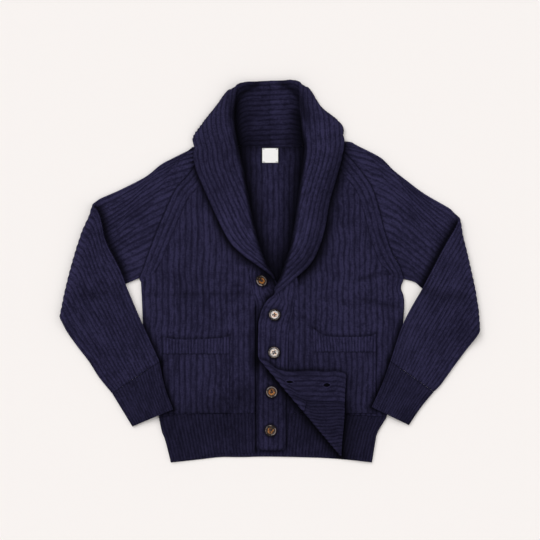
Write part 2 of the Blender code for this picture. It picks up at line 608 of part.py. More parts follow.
def button(name, x, y, z, lean):
    """A round button with a raised rim and a dished centre."""
    bm = bmesh.new()
    sides = 16
    profile = [(BUTTON_R - 1.4, 0), (BUTTON_R, 1.4), (BUTTON_R, BUTTON_H - 1.2), (BUTTON_R - 2, BUTTON_H),
               (BUTTON_R - 4.6, BUTTON_H - 1.7)]
    rings = []
    for r, h in profile:
        rings.append([bm.verts.new((r * math.cos(2 * math.pi * k / sides), r * math.sin(2 * math.pi * k / sides), h))
                      for k in range(sides)])
    for a, b in zip(rings, rings[1:]):
        for k in range(sides):
            bm.faces.new((a[k], a[(k + 1) % sides], b[(k + 1) % sides], b[k]))
    bm.faces.new(reversed(rings[0]))
    bm.faces.new(rings[-1])
    mesh = bpy.data.meshes.new(name)
    bm.to_mesh(mesh)
    bm.free()
    turn = math.radians(lean)
    for v in mesh.vertices:
        px, py, pz = v.co
        v.co = ((x + px) * MM, (y + py * math.cos(turn) - pz * math.sin(turn)) * MM,
                (z + BUTTON_R * abs(math.sin(turn)) + py * math.sin(turn) + pz * math.cos(turn)) * MM)
    obj = bpy.data.objects.new(name, mesh)
    bpy.context.collection.objects.link(obj)
    mesh.materials.append(material(*HORN))
    return obj


def lowered(points, by):
    """Points moved towards the hem."""
    return [(x, y - by) for x, y in points]


def body_pieces():
    """Back, fronts and their hem ribs."""
    raglan_r, raglan_l = curve(RAGLAN_R, 3), curve(RAGLAN_L, 3)
    side_r, side_l = curve(SIDE_R, 2), curve(SIDE_L, 2)
    hem_top = curve(HEM_TOP, 2)
    neck = [(-60, 254), (70, 254)]
    back = [*raglan_r, *side_r[1:], *hem_top[1:], *side_l[::-1][1:], *raglan_l[::-1][1:], *neck[::-1]]
    cut_piece("back", back, BACK_PITCH, Flat(level(0)))
    hem = [*lowered(hem_top, SEAM), *curve(HEM_SIDE_L, 2)[1:], *curve(HEM_BACK, 2)[::-1][1:],
           *curve(HEM_SIDE_R, 2)[::-1][1:-1]]
    cut_piece("hem_back", hem, HEM_PITCH, Flat(level(0)))

    seam_r = [(row[0] - 0.5, row[1]) for row in COLLAR_RIGHT[6:17]]
    top_r = [p for p in hem_top if p[0] < SEAM_X - 4]
    front = [*raglan_r, *side_r[1:], *top_r[1:], (SEAM_X - 0.3, -291), (SEAM_X - 0.3, -100), *seam_r[::-1][:-1]]
    cut_piece("front_right", front, RIGHT_FRONT_PITCH, Flat(level(1)), middle=SEAM_X - 6)
    hem = [*lowered(top_r, SEAM), (SEAM_X - 0.3, -291.4), *curve(HEM_RIGHT, 2)[::-1],
           *curve(HEM_SIDE_R, 2)[::-1][1:-1]]
    cut_piece("hem_front_right", hem, HEM_PITCH, Flat(level(1)), middle=SEAM_X - 3)

    cloth = Fold(CORNER_FOLD, (200, 0), FRONT_BEND, WALL + RIB, over_button_band, corner_rest)
    bends = cloth.lines(4, [math.pi * cloth.middle + d for d in CORNER_LINES])
    steps = [((x, -400), (x, 300)) for x in (35, 40, 45.5, 51, 56.5, 61, 66)]
    seam_l = [(row[0] + 0.5, row[1]) for row in COLLAR_LEFT[6:19]]
    top_l = [p for p in hem_top if p[0] > OVER_SEAM_X + 4]
    front = [*raglan_l, *side_l[1:], *top_l[::-1][1:], (OVER_SEAM_X + 0.6, -291), (OVER_SEAM_X + 0.6, -165),
             *seam_l[::-1][:-1]]
    cut_piece("front_left", front, LEFT_FRONT_PITCH, cloth, bends + steps, middle=OVER_SEAM_X + 6)
    hem = [*lowered(top_l[::-1], 2 * SEAM), (OVER_SEAM_X + 0.6, -291.8), *curve(HEM_LEFT, 2),
           *curve(HEM_SIDE_L, 2)[::-1][1:-1]]
    cut_piece("hem_front_left", hem, HEM_PITCH, cloth, bends + steps, middle=OVER_SEAM_X + 3)
    return cloth


def collar_pieces(cloth):
    """Both halves of the collar with their bands."""
    under = [((32, -125), (-29, -130)), ((32, -360), (-29, -360)), ((30.5, -364.5), (-27.5, -364.5)),
             ((25, -367.4), (-22, -367.4))]
    collar_strip("collar_band_right", COLLAR_RIGHT, -1, under, Flat(level(1)))
    slope = cloth.u[1] / cloth.u[0]
    free, seam = -25.0, OVER_SEAM_X

    def across(d):
        mid = cloth.a - cloth.n * d
        return ((free, mid[1] + (free - mid[0]) * slope), (seam, mid[1] + (seam - mid[0]) * slope))

    bend = math.pi * cloth.middle
    over = [((free, -135), (seam, -165)), across(-6)]
    over += [across(bend * k / 6) for k in range(7)]
    over += [across(bend + d) for d in CORNER_LINES[:4]]
    over += [((free, across(bend + d)[0][1]), (seam, y)) for d, y in zip(CORNER_LINES[4:], (-370.5, -371.7))]
    over += [((free + 1.5, -368.5), (seam, -372.6)), ((free + 6, -371), (seam, -373.4))]
    collar_strip("collar_band_left", COLLAR_LEFT, 1, over, cloth)


def pocket_pieces():
    """Patch pockets with ribbed welts."""
    for side, cut in POCKETS.items():
        x0, x1 = cut["x"]
        welt, foot = cut["welt"], cut["foot"]
        middle_x, middle_y = (x0 + x1) / 2, (welt + foot) / 2

        def pouch(xy, x0=x0, x1=x1, cx=middle_x, cy=middle_y, welt=welt, foot=foot):
            u = 1 - ((xy[:, 0] - cx) / (x1 - x0) * 2) ** 2
            w = 1 - ((xy[:, 1] - cy) / (welt - foot) * 2) ** 2
            return 2 * LEVEL + 1.2 * np.clip(u, 0, 1) * np.clip(w, 0, 1)

        rows = [((x0 - 20, foot + (welt - foot) * t), (x1 + 20, foot + (welt - foot) * t)) for t in (0.25, 0.6)]
        bag = [(x0, welt - 0.2), (x0, foot), (x1, foot), (x1, welt - 0.2)]
        cut_piece("pocket_" + side, bag, cut["pitch"], Flat(pouch), rows, middle=x0 + 4)
        rim = curve(cut["rim"], 3)
        band = [(x0, welt + 0.2), (x1, welt + 0.2), *rim[::-1]]
        cut_piece("pocket_welt_" + side, band, WELT_PITCH, Flat(level(2)), middle=x0 + 3)


def neck_label():
    """A plain square of tape below the back neck seam."""
    solid = Solid()
    rows = []
    half, top, foot, thick = LABEL
    for z in (LEVEL, LEVEL + thick):
        rows.append([solid.row((0, 1), [(-half, y, z), (half, y, z)]) for y in (top, foot)])
    (a, b), (c, d) = rows
    solid.stitch(a, b)
    solid.stitch(c, d)
    solid.stitch(a, c)
    solid.stitch(b, d)
    for i in (0, 1):
        solid.stitch([(0, a[i][1]), (1, b[i][1])], [(0, c[i][1]), (1, d[i][1])])
    solid.finish("label", TAPE)


def main():
    for old in list(bpy.data.objects):
        bpy.data.objects.remove(old)
    corner = body_pieces()
    collar_pieces(corner)
    sleeve("right", RAGLAN_R, ((-261, -110), (-228, -298)), -1)
    sleeve("left", RAGLAN_L, ((271, -110), (240, -298)), 1)
    pocket_pieces()
    for i, row in enumerate(BUTTONS):
        button("button_%d" % (i + 1), *row)
    neck_label()
    for obj in bpy.data.objects:
        obj.data.transform(Matrix.Translation((-CENTRE[0] * MM, -CENTRE[1] * MM, 0)))


main()
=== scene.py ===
"""Looks of a shawl collar cardigan in chunky rib knit, laid flat with its front up.

Tables and lengths are in millimetres, in the frame of the garment's own cut; the meshes are in metres.
The wearer's right side is at -X, the neck towards +Y, and the front faces +Z.
"""
from __future__ import annotations

import json
import logging
import math
from dataclasses import dataclass, field
from enum import Enum
from typing import Callable, Sequence

import bpy  # noqa: E402
import numpy as np  # noqa: E402
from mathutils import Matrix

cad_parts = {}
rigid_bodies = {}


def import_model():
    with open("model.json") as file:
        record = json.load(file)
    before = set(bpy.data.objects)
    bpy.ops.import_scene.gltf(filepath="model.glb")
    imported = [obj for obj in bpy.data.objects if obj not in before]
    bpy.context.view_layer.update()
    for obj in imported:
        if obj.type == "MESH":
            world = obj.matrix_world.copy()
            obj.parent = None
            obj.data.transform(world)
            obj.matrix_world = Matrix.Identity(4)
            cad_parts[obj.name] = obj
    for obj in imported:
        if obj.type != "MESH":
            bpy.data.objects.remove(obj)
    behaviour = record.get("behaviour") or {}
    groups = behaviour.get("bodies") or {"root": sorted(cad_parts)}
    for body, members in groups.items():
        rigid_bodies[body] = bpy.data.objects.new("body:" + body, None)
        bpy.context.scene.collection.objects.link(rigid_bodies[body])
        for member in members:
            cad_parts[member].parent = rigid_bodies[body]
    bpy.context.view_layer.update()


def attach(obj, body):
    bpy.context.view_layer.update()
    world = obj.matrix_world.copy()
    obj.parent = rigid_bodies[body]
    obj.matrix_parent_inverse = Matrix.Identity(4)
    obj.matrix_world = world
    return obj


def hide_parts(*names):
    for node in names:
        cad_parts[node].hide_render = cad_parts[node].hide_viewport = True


for leftover in list(bpy.data.objects):
    bpy.data.objects.remove(leftover)
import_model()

log = logging.getLogger("cardigan")

Array = np.ndarray
Height = Callable[[Array], Array]
Colour = tuple[float, float, float]
Point = tuple[float, float]

MM = 0.001
CENTRE = (0.9, -0.7)            # middle of the laid garment in these tables
CLOTH = 3.3                     # whole thickness of the rib knit
RELIEF = 1.5                    # depth of the groove between two ribs
BACK_RELIEF = 1.2               # the same on the under face
GAP = 0.3                       # air between two pieces
LEVEL = CLOTH + GAP             # one layer of cloth
STITCH = 3.9                    # height of one stitch
ROW_STEP = 4.0                  # length of a mesh row along the ribs
EDGE_STEPS = (0.0, 0.25, 0.7, 1.4, 2.6)   # mesh rows beside a rounded edge
EDGE_R = 1.5                    # radius of a rounded edge
CUT_TRIM = 0.9                  # how far a straight right edge stays back
SLEEVE_RIBS = 18                # ribs across one side of a flattened sleeve
SLEEVE_STACK = 8.0              # both layers of a sleeve
SEAM_STACK = 2 * LEVEL - GAP    # both layers of a sleeve at the body
SLEEVE_BEND = 9.0               # outer radius of the fold at the elbow
FRONT_BEND = 5.25               # outer radius of the fold of the turned corner
SEAM_X = -29.3                  # seam of the button band
OVER_SEAM_X = 36.0              # seam of the buttonhole band
SEAM_GAP = 0.3                  # air at the seam of the button band
OVER_SEAM_GAP = 0.6             # air at the seam of the buttonhole band
HEM_Y = -291                    # where the hem's seam meets a band's seam
STRIP_PITCH = 10.2              # ribs of the collar and the bands
FASHIONING = 33.0               # width of the ribs that run beside the raglan seam
BODY_TONE, HEM_TONE, CUFF_TONE, POCKET_TONE = 0.76, 0.63, 0.55, 0.70   # how light each piece's knit is painted: its painted shade
WELT_TONE = POCKET_TONE * 1.22
SLEEVE_TONES = (0.86, 0.77)     # painted shade before the fold at the elbow and after it
CORNER_TONE = 0.55              # painted shade of the turned corner, wrong side up
HEM_SHARE = 0.76                # painted shade of the left front's hem rib, as a share of its front's tone
BAND_SHARES = {"right": 0.88, "left": 0.78}   # painted shade of the front bands, as a share of the body's tone

# Edges of the cut pieces: x, y
RAGLAN_R = [(-91, 263), (-134, 239), (-156, 216), (-171, 196), (-195, 169), (-216, 124), (-236, 77),
            (-257, 19), (-269, -15)]
RAGLAN_L = [(94, 264), (129, 259), (153, 245), (184, 210), (210, 172), (225, 126), (235, 85),
            (251, 39), (266, 13), (276, -17)]
SIDE_R = [(-269, -15), (-263.5, -30), (-263, -84), (-255, -181), (-240, -253), (-228.5, -298)]
SIDE_L = [(276, -17), (275.3, -50), (274.6, -80), (267.5, -161), (254, -233), (239, -298)]
HOLLOW_L = (-33, 13, 7)       # where, over what length and how deep the left side draws in below the arm
HEM_TOP = [(-228.5, -298), (-185, -293), (-82, -291), (30, -291), (143, -293), (239, -298)]
HEM_BACK = [(-204, -392), (-184, -390), (-143, -385.5), (-102, -381), (-60, -381), (1, -380), (103, -382.5),
            (165, -387), (209, -392)]
HEM_SIDE_R = [(-204, -392), (-216, -345), (-222.5, -329), (-228.5, -298)]   # from the foot up
HEM_SIDE_L = [(209, -392), (216.5, -346), (220.5, -330), (239, -298)]
HEM_RIGHT = [(-203, -391), (-164, -385), (-134, -378), (-112, -373), (SEAM_X - SEAM_GAP, -372)]
HEM_LEFT = [(OVER_SEAM_X + SEAM_GAP, -373), (55, -375), (103, -378), (144, -382), (186, -389), (208, -391)]

# Sections of the collar's right half, from the centre back round the neck to the button band.
# A section starts at the seam, climbs the stand, turns over at the roll and falls to the free edge.
SECTION = ("seam_x", "seam_y", "seam_z", "rise_z", "roll_x", "roll_y", "roll_z", "stand_z", "fall_z",
           "mid_z", "outer_x", "outer_y", "outer_z", "edge_x", "edge_y", "edge_z")
COLLAR_RIGHT = [
    (0, 254.6, 1.2, 6.4, 0, 389.3, 6.6, 11.0, 2.6, 2.5, 0, 325, 2.4, 0, 302, 2.4),
    (-28, 254.6, 1.2, 6.4, -30, 387.8, 6.6, 11.0, 2.6, 2.5, -32, 325, 2.4, -33, 302, 2.4),
    (-48, 254.8, 1.4, 7.0, -51, 386.8, 9.0, 13.0, 5.0, 4.0, -68, 348, 2.4, -64, 318, 2.4),
    (-62, 257.5, 2.8, 8.5, -67, 379.6, 18.0, 15.0, 17.0, 13.0, -85, 369.5, 6.0, -86, 340, 2.2),
    (-74, 262, 4.4, 9.0, -73, 347, 24.0, 18.0, 22.0, 17.0, -112, 337, 6.5, -108, 314, 2.2),
    (-84, 265.5, 6.0, 8.0, -74, 309, 24.0, 15.0, 25.0, 20.0, -138, 305, 7.5, -129, 286, 2.4),
    (-88.6, 262, 6.0, 6.4, -70, 276, 20.0, 10.0, 25.0, 20.0, -157, 274, 8.5, -149, 258, 3.2),
    (-89.6, 254, 6.0, 6.0, -65, 250, 15.0, 6.4, 24.0, 19.0, -138, 249, 13.0, -158, 245, 11.0),
    (-85.6, 213, 6.0, 6.0, -57, 215, 13.5, 6.0, 21.0, 16.5, -130, 214, 11.5, -154, 214, 10.6),
    (-77.6, 170, 6.0, 6.0, -50, 175, 13.0, 6.0, 20.0, 15.5, -118, 174, 10.5, -138, 174, 9.6),
    (-69.6, 126, 6.0, 6.0, -42, 134, 12.5, 6.0, 19.5, 14.5, -102, 134, 9.8, -120, 134, 9.2),
    (-61.6, 84, 6.0, 6.0, -34, 95, 12.0, 6.0, 18.5, 13.5, -87, 95, 9.4, -102, 95, 9.0),
    (-54.6, 48, 6.0, 6.0, -25, 62, 11.5, 6.0, 17.5, 13.0, -70, 61, 9.4, -81, 58, 9.0),
    (-47.6, 14, 5.6, 5.6, -16, 36, 11.0, 5.6, 16.5, 13.0, -46, 35, 10.4, -55, 33, 9.6),
    (-40.6, -14, 5.4, 5.4, -7, 13, 10.0, 5.4, 14.5, 12.6, -20, 14, 12.0, -27, 12.5, 11.4),
    (-34.6, -48, 4.9, 4.9, 7, -10, 7.6, 5.2, 10.0, 9.6, 4, -9.5, 9.4, 1, -9, 9.0),
    (-29.4, -68, 4.8, 4.8, 12, -49, 4.8, 4.8, 4.8, 4.8, 20, -45, 4.8, 27, -42, 4.8),
    (-29, -98, 4.8, 4.8, 11, -84, 4.8, 4.8, 4.8, 4.8, 24, -80, 4.8, 32, -77, 4.8),
]
COLLAR_LEFT = [
    (0, 254.6, 1.2, 6.4, 0, 389.3, 6.6, 11.0, 2.6, 2.5, 0, 325, 2.4, 0, 302, 2.4),
    (28, 254.6, 1.2, 6.4, 28, 389.8, 6.6, 11.0, 2.6, 2.5, 30, 325, 2.4, 31, 302, 2.4),
    (48, 254.8, 1.4, 7.0, 44.5, 390.8, 9.0, 13.0, 5.0, 4.0, 62, 352, 2.4, 59, 320, 2.4),
    (70, 258, 2.8, 8.5, 59.5, 385, 18.0, 15.0, 17.0, 13.0, 78, 374, 6.0, 79, 344, 2.2),
    (80, 262, 4.4, 9.0, 60, 350, 24.0, 18.0, 22.0, 17.0, 105, 336, 6.5, 101, 314, 2.2),
    (87, 266, 6.0, 8.0, 63, 312, 24.0, 15.0, 25.0, 20.0, 136, 311.5, 7.5, 128, 296, 2.4),
    (92, 265, 6.0, 6.4, 67, 280, 20.0, 10.0, 25.0, 20.0, 148.5, 291, 8.5, 144.5, 281.5, 4.4),
    (95, 256, 6.0, 6.0, 71, 252, 15.0, 6.4, 24.0, 19.0, 134, 264, 13.5, 152.5, 270.5, 12.0),
    (92.4, 212, 6.0, 6.0, 67, 214, 13.5, 6.0, 21.0, 16.5, 124, 225, 11.5, 147, 231, 10.6),
    (87.4, 168, 6.0, 6.0, 61, 172, 13.0, 6.0, 20.0, 15.5, 113, 181, 10.5, 134, 184, 9.6),
    (81.4, 122, 6.0, 6.0, 55, 130, 12.5, 6.0, 19.5, 14.5, 103, 138, 9.8, 122, 141, 9.2),
    (75.4, 80, 6.0, 6.0, 49, 88, 12.0, 6.0, 18.5, 13.5, 94, 93, 9.4, 114, 95, 9.0),
    (68.4, 44, 6.0, 6.0, 43, 53, 12.0, 6.0, 18.0, 13.5, 87, 54, 9.6, 103, 55, 9.0),
    (63.4, 6, 6.0, 6.6, 33, 23, 14.0, 8.4, 19.5, 15.0, 68, 18, 11.5, 84, 17, 9.8),
    (57.4, -32, 6.2, 8.6, 21, -12, 15.5, 11.8, 19.5, 17.0, 42, -12, 14.5, 54, -12, 13.0),
    (49.4, -64, 7.2, 9.0, 9, -37, 13.6, 11.0, 16.5, 15.8, 17, -37, 15.4, 23, -38, 15.0),
    (44.6, -92, 8.2, 8.6, 12, -68, 9.2, 9.0, 9.2, 9.2, 3, -62, 9.2, -4, -57, 9.2),
    (39.4, -114, 8.4, 8.4, 6, -94, 8.4, 8.4, 8.4, 8.4, -8, -85, 8.4, -17, -78, 8.4),
    (36.8, -138, 8.4, 8.4, -1, -119, 8.4, 8.4, 8.4, 8.4, -16, -110, 8.4, -24, -104, 8.4),
]

# Edges of a sleeve's cut, as they would lie unfolded: x, y
SLEEVES = {
    "right": {
        "top": [(-91, 265), (-154, 257), (-166, 249.5), (-177, 244), (-201, 232), (-225, 219), (-255, 195),
                (-303, 170), (-331, 157.5), (-350, 149), (-362, 139.5), (-370.5, 128.5)],
        "under": [(-269.5, -14), (-296, -25), (-328, -37), (-421, -85)],
        "lower_top": [(-370.5, 128.5), (-380, 136), (-400.8, 120.2), (-433, 87.5), (-485, 55.5), (-520, 29),
                      (-583, -16), (-654, -64)],
        "lower_under": [(-421, -85), (-456, -109), (-491, -125), (-530, -140), (-565, -157), (-605, -171)],
        "cuff_top": [(-654, -64), (-691, -103), (-729, -133)],
        "cuff_under": [(-605, -171), (-639, -188.5), (-676, -207.5)],
        "fold": ((-374, 116), (-430, -83)),
        "body": ((-261, -110), (-228, -298)),     # the body's side, which the turned part rests on
        "bulge": (-2.5, 3.2, 4.8, 5.4, 4.8, 3.4, 0.5),
    },
    "left": {
        "top": [(96, 268), (161, 266.5), (174, 261), (184, 256), (227, 233.5), (252.5, 208.5), (285, 183),
                (317.5, 159), (366, 131), (376, 122)],
        "under": [(276.5, -16), (297, -22), (311, -34), (348, -64), (420, -110)],
        "lower_top": [(376, 122), (408, 92), (440, 67), (507, 9), (573, -46), (629, -112)],
        "lower_under": [(420, -110), (445, -129), (480, -150), (515, -172), (549, -194), (569, -203)],
        "cuff_top": [(629, -112), (660, -147), (699, -185)],
        "cuff_under": [(569, -203), (606, -224), (641, -248)],
        "fold": ((389.5, 114), (433, -117)),
        "body": ((271, -110), (240, -298)),
        "bulge": (0.0, -1.2, 1.0, 2.6, 3.4, 2.4, -2.0),
    },
}
POCKETS = {
    "right": {"x": (-220, -83), "rim": [(-220, -134), (-193, -139), (-142, -139), (-111, -137), (-83, -133)],
              "welt": -169, "foot": -290, "pitch": 12.0},
    "left": {"x": (87.5, 217),
             "rim": [(87.5, -116), (101, -126), (114, -132), (143, -134), (202, -133), (217, -127)],
             "welt": -165, "foot": -290.5, "pitch": 11.4},
}
# Buttons down the band: x, y, z of the underside; lean, the way it leans, turn of the holes, in degrees
BUTTONS = [(-16.5, -18, 7.4, 30, 225, 20), (9, -89, 3 * LEVEL + 0.3, 8.4, 90, 50),
           (8, -166, 3 * LEVEL, 7, 90, 10), (3, -247, 2 * LEVEL, 1, 90, 65), (1, -326, 2 * LEVEL, 1, 60, 35)]
BUTTONHOLES = [(40, -226, 7.5, 3.0, -3), (116, -232.5, 7.2, 4.0, 4)]   # x, y, half length, half width, turn
CORNER_FOLD = ((-21, -183), (140, -375))
CURL = (70, 55, 5.0)            # where past its fold the corner starts to lift, over what length, how high
CORNER_DROP = ((-26, -8, 8, 34, 85, 140, 164), (0, -8, -15, -14, -6, 5, 3))   # x, and how far it hangs lower
SETTLE = 50.0                   # run past a fold over which the cloth comes down to what it rests on

# Rows of the front bands below the collar's table, each from the free edge to the seam: x, y
UNDER_BAND = (((32, -125), (-29, -130)), ((32, -350), (-29, -350)), ((31.6, -362), (-28.6, -362)),
              ((30.5, -364.5), (-27.5, -364.5)), ((25, -367.4), (-22, -367.4)))
OVER_BAND = (((-25, -135), (36, -165)), ((-25, -215), (36, -235)), ((-25, -320), (36, -330)),
             ((-25, -362), (36, -368)), ((-23.5, -368.5), (36, -372.8)), ((-19, -371), (36, -373.6)))

# Where the stand's shadow turns over at the top of the collar, from the side to the middle: x, y
ARCH = {1: [(-72, 322), (-67, 345), (-58, 360), (-46, 370), (-30, 379)],
        -1: [(68, 316), (62, 338), (54, 357), (43, 370), (27, 381)]}

# Soft lines on the body: where from, where to, width, height (ridge or trough) and the depth of their painted
# shade
WRINKLES = [
    ((-262, -48), (-45, -46), 5.0, -1.6, 0.30), ((-262, -57), (-100, -56), 7.0, 1.2, 0.0),
    ((-248, -70), (-140, -68), 6.0, -0.8, 0.14), ((-150, 170), (-150, -40), 9.0, 1.3, 0.0),
    ((-171, 150), (-168, -40), 6.0, -0.8, 0.12), ((-120, 120), (-112, -40), 7.0, -0.6, 0.08),
    ((176, -14), (268, 14), 6.0, 1.6, 0.0), ((172, -22), (212, -6), 5.0, -1.4, 0.28),
    ((205, -8), (268, -2), 5.0, -1.0, 0.22), ((186, -56), (268, -76), 6.0, -1.6, 0.34),
    ((180, -44), (262, -58), 7.0, 1.6, 0.0), ((62, -47), (165, -64), 6.0, -1.0, 0.16),
    ((69, -60), (69, -196), 4.5, -1.2, 0.30), ((43, -60), (43, -196), 5.0, -0.9, 0.22),
    ((56, -70), (56, -190), 6.0, 0.8, 0.0), ((96, -60), (92, -116), 5.0, -0.7, 0.12),
    ((60, 40), (78, -40), 9.0, -0.8, 0.2), ((118, 20), (112, -50), 8.0, -0.6, 0.1),
]


class Side(Enum):
    """The wearer's side that a piece belongs to."""

    RIGHT = "right"
    LEFT = "left"

    @property
    def sign(self) -> int:
        """-1 on the wearer's right, at -X, and 1 on the left."""
        return -1 if self is Side.RIGHT else 1


class Held(Enum):
    """How a piece of cloth lies."""

    LAID = "laid"
    FOLDED = "folded"


# ---------------------------------------------------------------------------------------- lines

def ease(t: Array | float) -> Array:
    """Smooth step from 0 to 1: three t squared less two t cubed."""
    t = np.clip(t, 0, 1)
    return t * t * (3 - 2 * t)


def cubic(p: Array, first: Array, t: Array) -> Array:
    """Catmull-Rom cubics through rows of points, with one more point set before and after them.

    Args:
        p: the points, one row each.
        first: row at which each cubic starts.
        t: how far along the cubic, from 0 to 1.
    """
    p = np.concatenate([2 * p[:1] - p[1:2], p, 2 * p[-1:] - p[-2:-1]])
    a, b, c, d = (p[first + k] for k in range(4))
    return 0.5 * (2 * b + (c - a) * t + (2 * a - 5 * b + 4 * c - d) * t**2 + (3 * b - a - 3 * c + d) * t**3)


def smooth(points: Sequence, per_span: int = 6) -> Array:
    """Smooth line through points, each span a Catmull-Rom cubic.

    Args:
        points: the points, one row each.
        per_span: steps between two points.
    Returns:
        The points of the smooth line.
    """
    p = np.asarray(points, float)
    t = np.linspace(0, 1, per_span, endpoint=False).reshape(1, -1, *([1] * (p.ndim - 1)))
    spans = cubic(p, np.arange(len(p) - 1)[:, None], t)
    return np.concatenate([spans.reshape(-1, *p.shape[1:]), p[-1:]])


def at(line: Array, fractions: Array | Sequence[float]) -> Array:
    """Points at fractions of a line's length."""
    line = np.asarray(line, float)
    run = np.concatenate([[0], np.cumsum(np.linalg.norm(np.diff(line, axis=0), axis=1))])
    return np.stack([np.interp(np.asarray(fractions) * run[-1], run, c) for c in line.T], axis=-1)


def length(line: Array) -> float:
    """Length of a line."""
    return float(np.linalg.norm(np.diff(np.asarray(line, float), axis=0), axis=1).sum())


def unit(vectors: Array) -> Array:
    """Vectors brought to a length of 1."""
    return vectors / np.linalg.norm(vectors, axis=-1, keepdims=True)


def axes(a: Sequence, b: Sequence, facing: Sequence | None = None) -> tuple[Array, Array, Array, float]:
    """A straight line's start, direction, normal and length.

    Args:
        a, b: its ends.
        facing: a point on the side that the normal shows to, else it shows to the left.
    """
    a, b = np.asarray(a, float), np.asarray(b, float)
    u = unit(b - a)
    n = np.array([-u[1], u[0]])
    if facing is not None and n @ (np.asarray(facing, float) - a) < 0:
        n = -n
    return a, u, n, float(np.linalg.norm(b - a))


def beside(line: Array, gap: float) -> Array:
    """A line moved sideways by gap, to the left of its direction."""
    step = unit(np.gradient(np.asarray(line, float), axis=0))
    return line + gap * np.column_stack([-step[:, 1], step[:, 0]])


def rising(*lines: Array) -> Array:
    """Lines joined in the order of x, each x a little more than the last."""
    line = np.concatenate([np.asarray(part, float) for part in lines])
    line = line[np.argsort(line[:, 0], kind="stable")]
    line[:, 0] = np.maximum.accumulate(line[:, 0] + np.arange(len(line)) * 1e-6)
    return line


def polygon_area(outline: Array) -> float:
    """Area inside an outline: half the sum of the cross products of its corners."""
    x, y = np.asarray(outline, float).T
    return abs(float(np.sum(x * np.roll(y, -1) - y * np.roll(x, -1)))) / 2


def grid_area(points: Array) -> float:
    """Area of a grid of points: half the cross product of each cell's diagonals, summed."""
    one, two = points[1:, 1:] - points[:-1, :-1], points[1:, :-1] - points[:-1, 1:]
    if points.shape[-1] == 2:
        return float(np.abs(one[..., 0] * two[..., 1] - one[..., 1] * two[..., 0]).sum()) / 2
    return float(np.linalg.norm(np.cross(one, two), axis=-1).sum()) / 2


def between(value: Array, ends: tuple[float, float]) -> Array:
    """Smooth step from 0 to 1 between two ends."""
    return ease((value - ends[0]) / (ends[1] - ends[0]))


def ripple(x: Array, y: Array, seed: int, size: float) -> Array:
    """Soft unevenness between about -1 and 1: a sum of seven waves in random directions.

    Args:
        x, y: place on the cloth.
        seed: which set of waves.
        size: length of the longest wave.
    """
    rng = np.random.default_rng(seed)
    total = np.zeros(np.broadcast(x, y).shape)
    for k in range(7):
        turn, phase = rng.uniform(0, 2 * math.pi, 2)
        wave = 2 * math.pi / (size * rng.uniform(0.4, 1.0))
        total += np.sin(wave * (x * math.cos(turn) + y * math.sin(turn)) + phase)
    return total / 3.5


# ---------------------------------------------------------------------------------------- knit

def rib_height(phase: Array) -> Array:
    """Height of a rib from 0 in the groove to 1 on its crest.

    With a the distance from the crest, as a share of the way to the groove, the height is
    0.4 (1 - a^2.4)^0.75 + 0.3 (1 + cos(pi a)): a round rib with a soft groove.
    """
    q = np.mod(phase, 1.0)
    a = np.clip(2 * np.minimum(q, 1 - q), 0, 1)
    return 0.4 * (1 - a**2.4) ** 0.75 + 0.3 * (1 + np.cos(math.pi * a))


def edge_round(distance: Array, least: float = 0.4) -> Array:
    """Share of the cloth's thickness near an edge: a quarter circle of EDGE_R, no thinner than least."""
    t = 1 - np.clip(distance / EDGE_R, 0, 1)
    return least + (1 - least) * np.sqrt(1 - t * t)


def wall_heights(phase: Array, rim: Array) -> tuple[Array, Array]:
    """Heights of both faces of a full rib over its underside.

    The ribs of one face lie behind the grooves of the other: the upper face is
    CLOTH - RELIEF (1 - r(p)) and the under face BACK_RELIEF (1 - r(p + 1/2)), with r the rib's height.

    Args:
        phase: place across the ribs, whole on a crest of the upper face.
        rim: share of the thickness, below 1 beside an edge.
    Returns:
        Heights of the upper and of the under face.
    """
    top = CLOTH - RELIEF * (1 - rib_height(phase))
    low = BACK_RELIEF * (1 - rib_height(phase + 0.5))
    middle = (top + low) / 2
    return middle + (top - middle) * rim, middle + (low - middle) * rim


def behind(uv: Array) -> Array:
    """The map of the under face, whose ribs lie half a rib further."""
    return uv + (0.5, 0.0)


@dataclass(frozen=True)
class Shade:
    """A painted shade: a soft dark line where cloth meets, or passes under, other cloth.

    At distance d from the line the colour keeps 1 - depth exp(-(d / width) squared).
    """

    line: Array                 # x, y, z: only what lies below z darkens
    width: float
    depth: float
    side: int = 0               # 1 or -1: only what is left or right of the line's direction darkens

    def keeps(self, points: Array) -> Array:
        """How much of its colour each point keeps, from 0 to 1."""
        kept = np.ones(len(points))
        reach = 2.5 * self.width
        low, high = self.line[:, :2].min(0) - reach, self.line[:, :2].max(0) + reach
        near = np.flatnonzero(np.all((points[:, :2] > low) & (points[:, :2] < high), axis=1))
        p, a, b = points[near, None], self.line[None, :-1], self.line[None, 1:]
        step = (b - a)[..., :2]
        t = np.clip(np.sum((p - a)[..., :2] * step, axis=2) / np.sum(step * step, axis=2), 0, 1)
        away = np.linalg.norm(p[..., :2] - a[..., :2] - t[..., None] * step, axis=2)
        best = np.argmin(away, axis=1)[:, None]
        d, t = np.take_along_axis(away, best, 1)[:, 0], np.take_along_axis(t, best, 1)[:, 0]
        z = self.line[best[:, 0], 2] * (1 - t) + self.line[best[:, 0] + 1, 2] * t
        under = ease((z - points[near, 2]) / 0.8 + 0.5)
        if self.side:
            along, off = step[0, best[:, 0]], points[near, :2] - self.line[best[:, 0], :2]
            under = under * ease(self.side * (along[:, 0] * off[:, 1] - along[:, 1] * off[:, 0])
                                 / np.linalg.norm(along, axis=1) / 5 + 0.7)
        kept[near] = 1 - self.depth * under * np.exp(-(d / self.width) ** 2)
        return kept


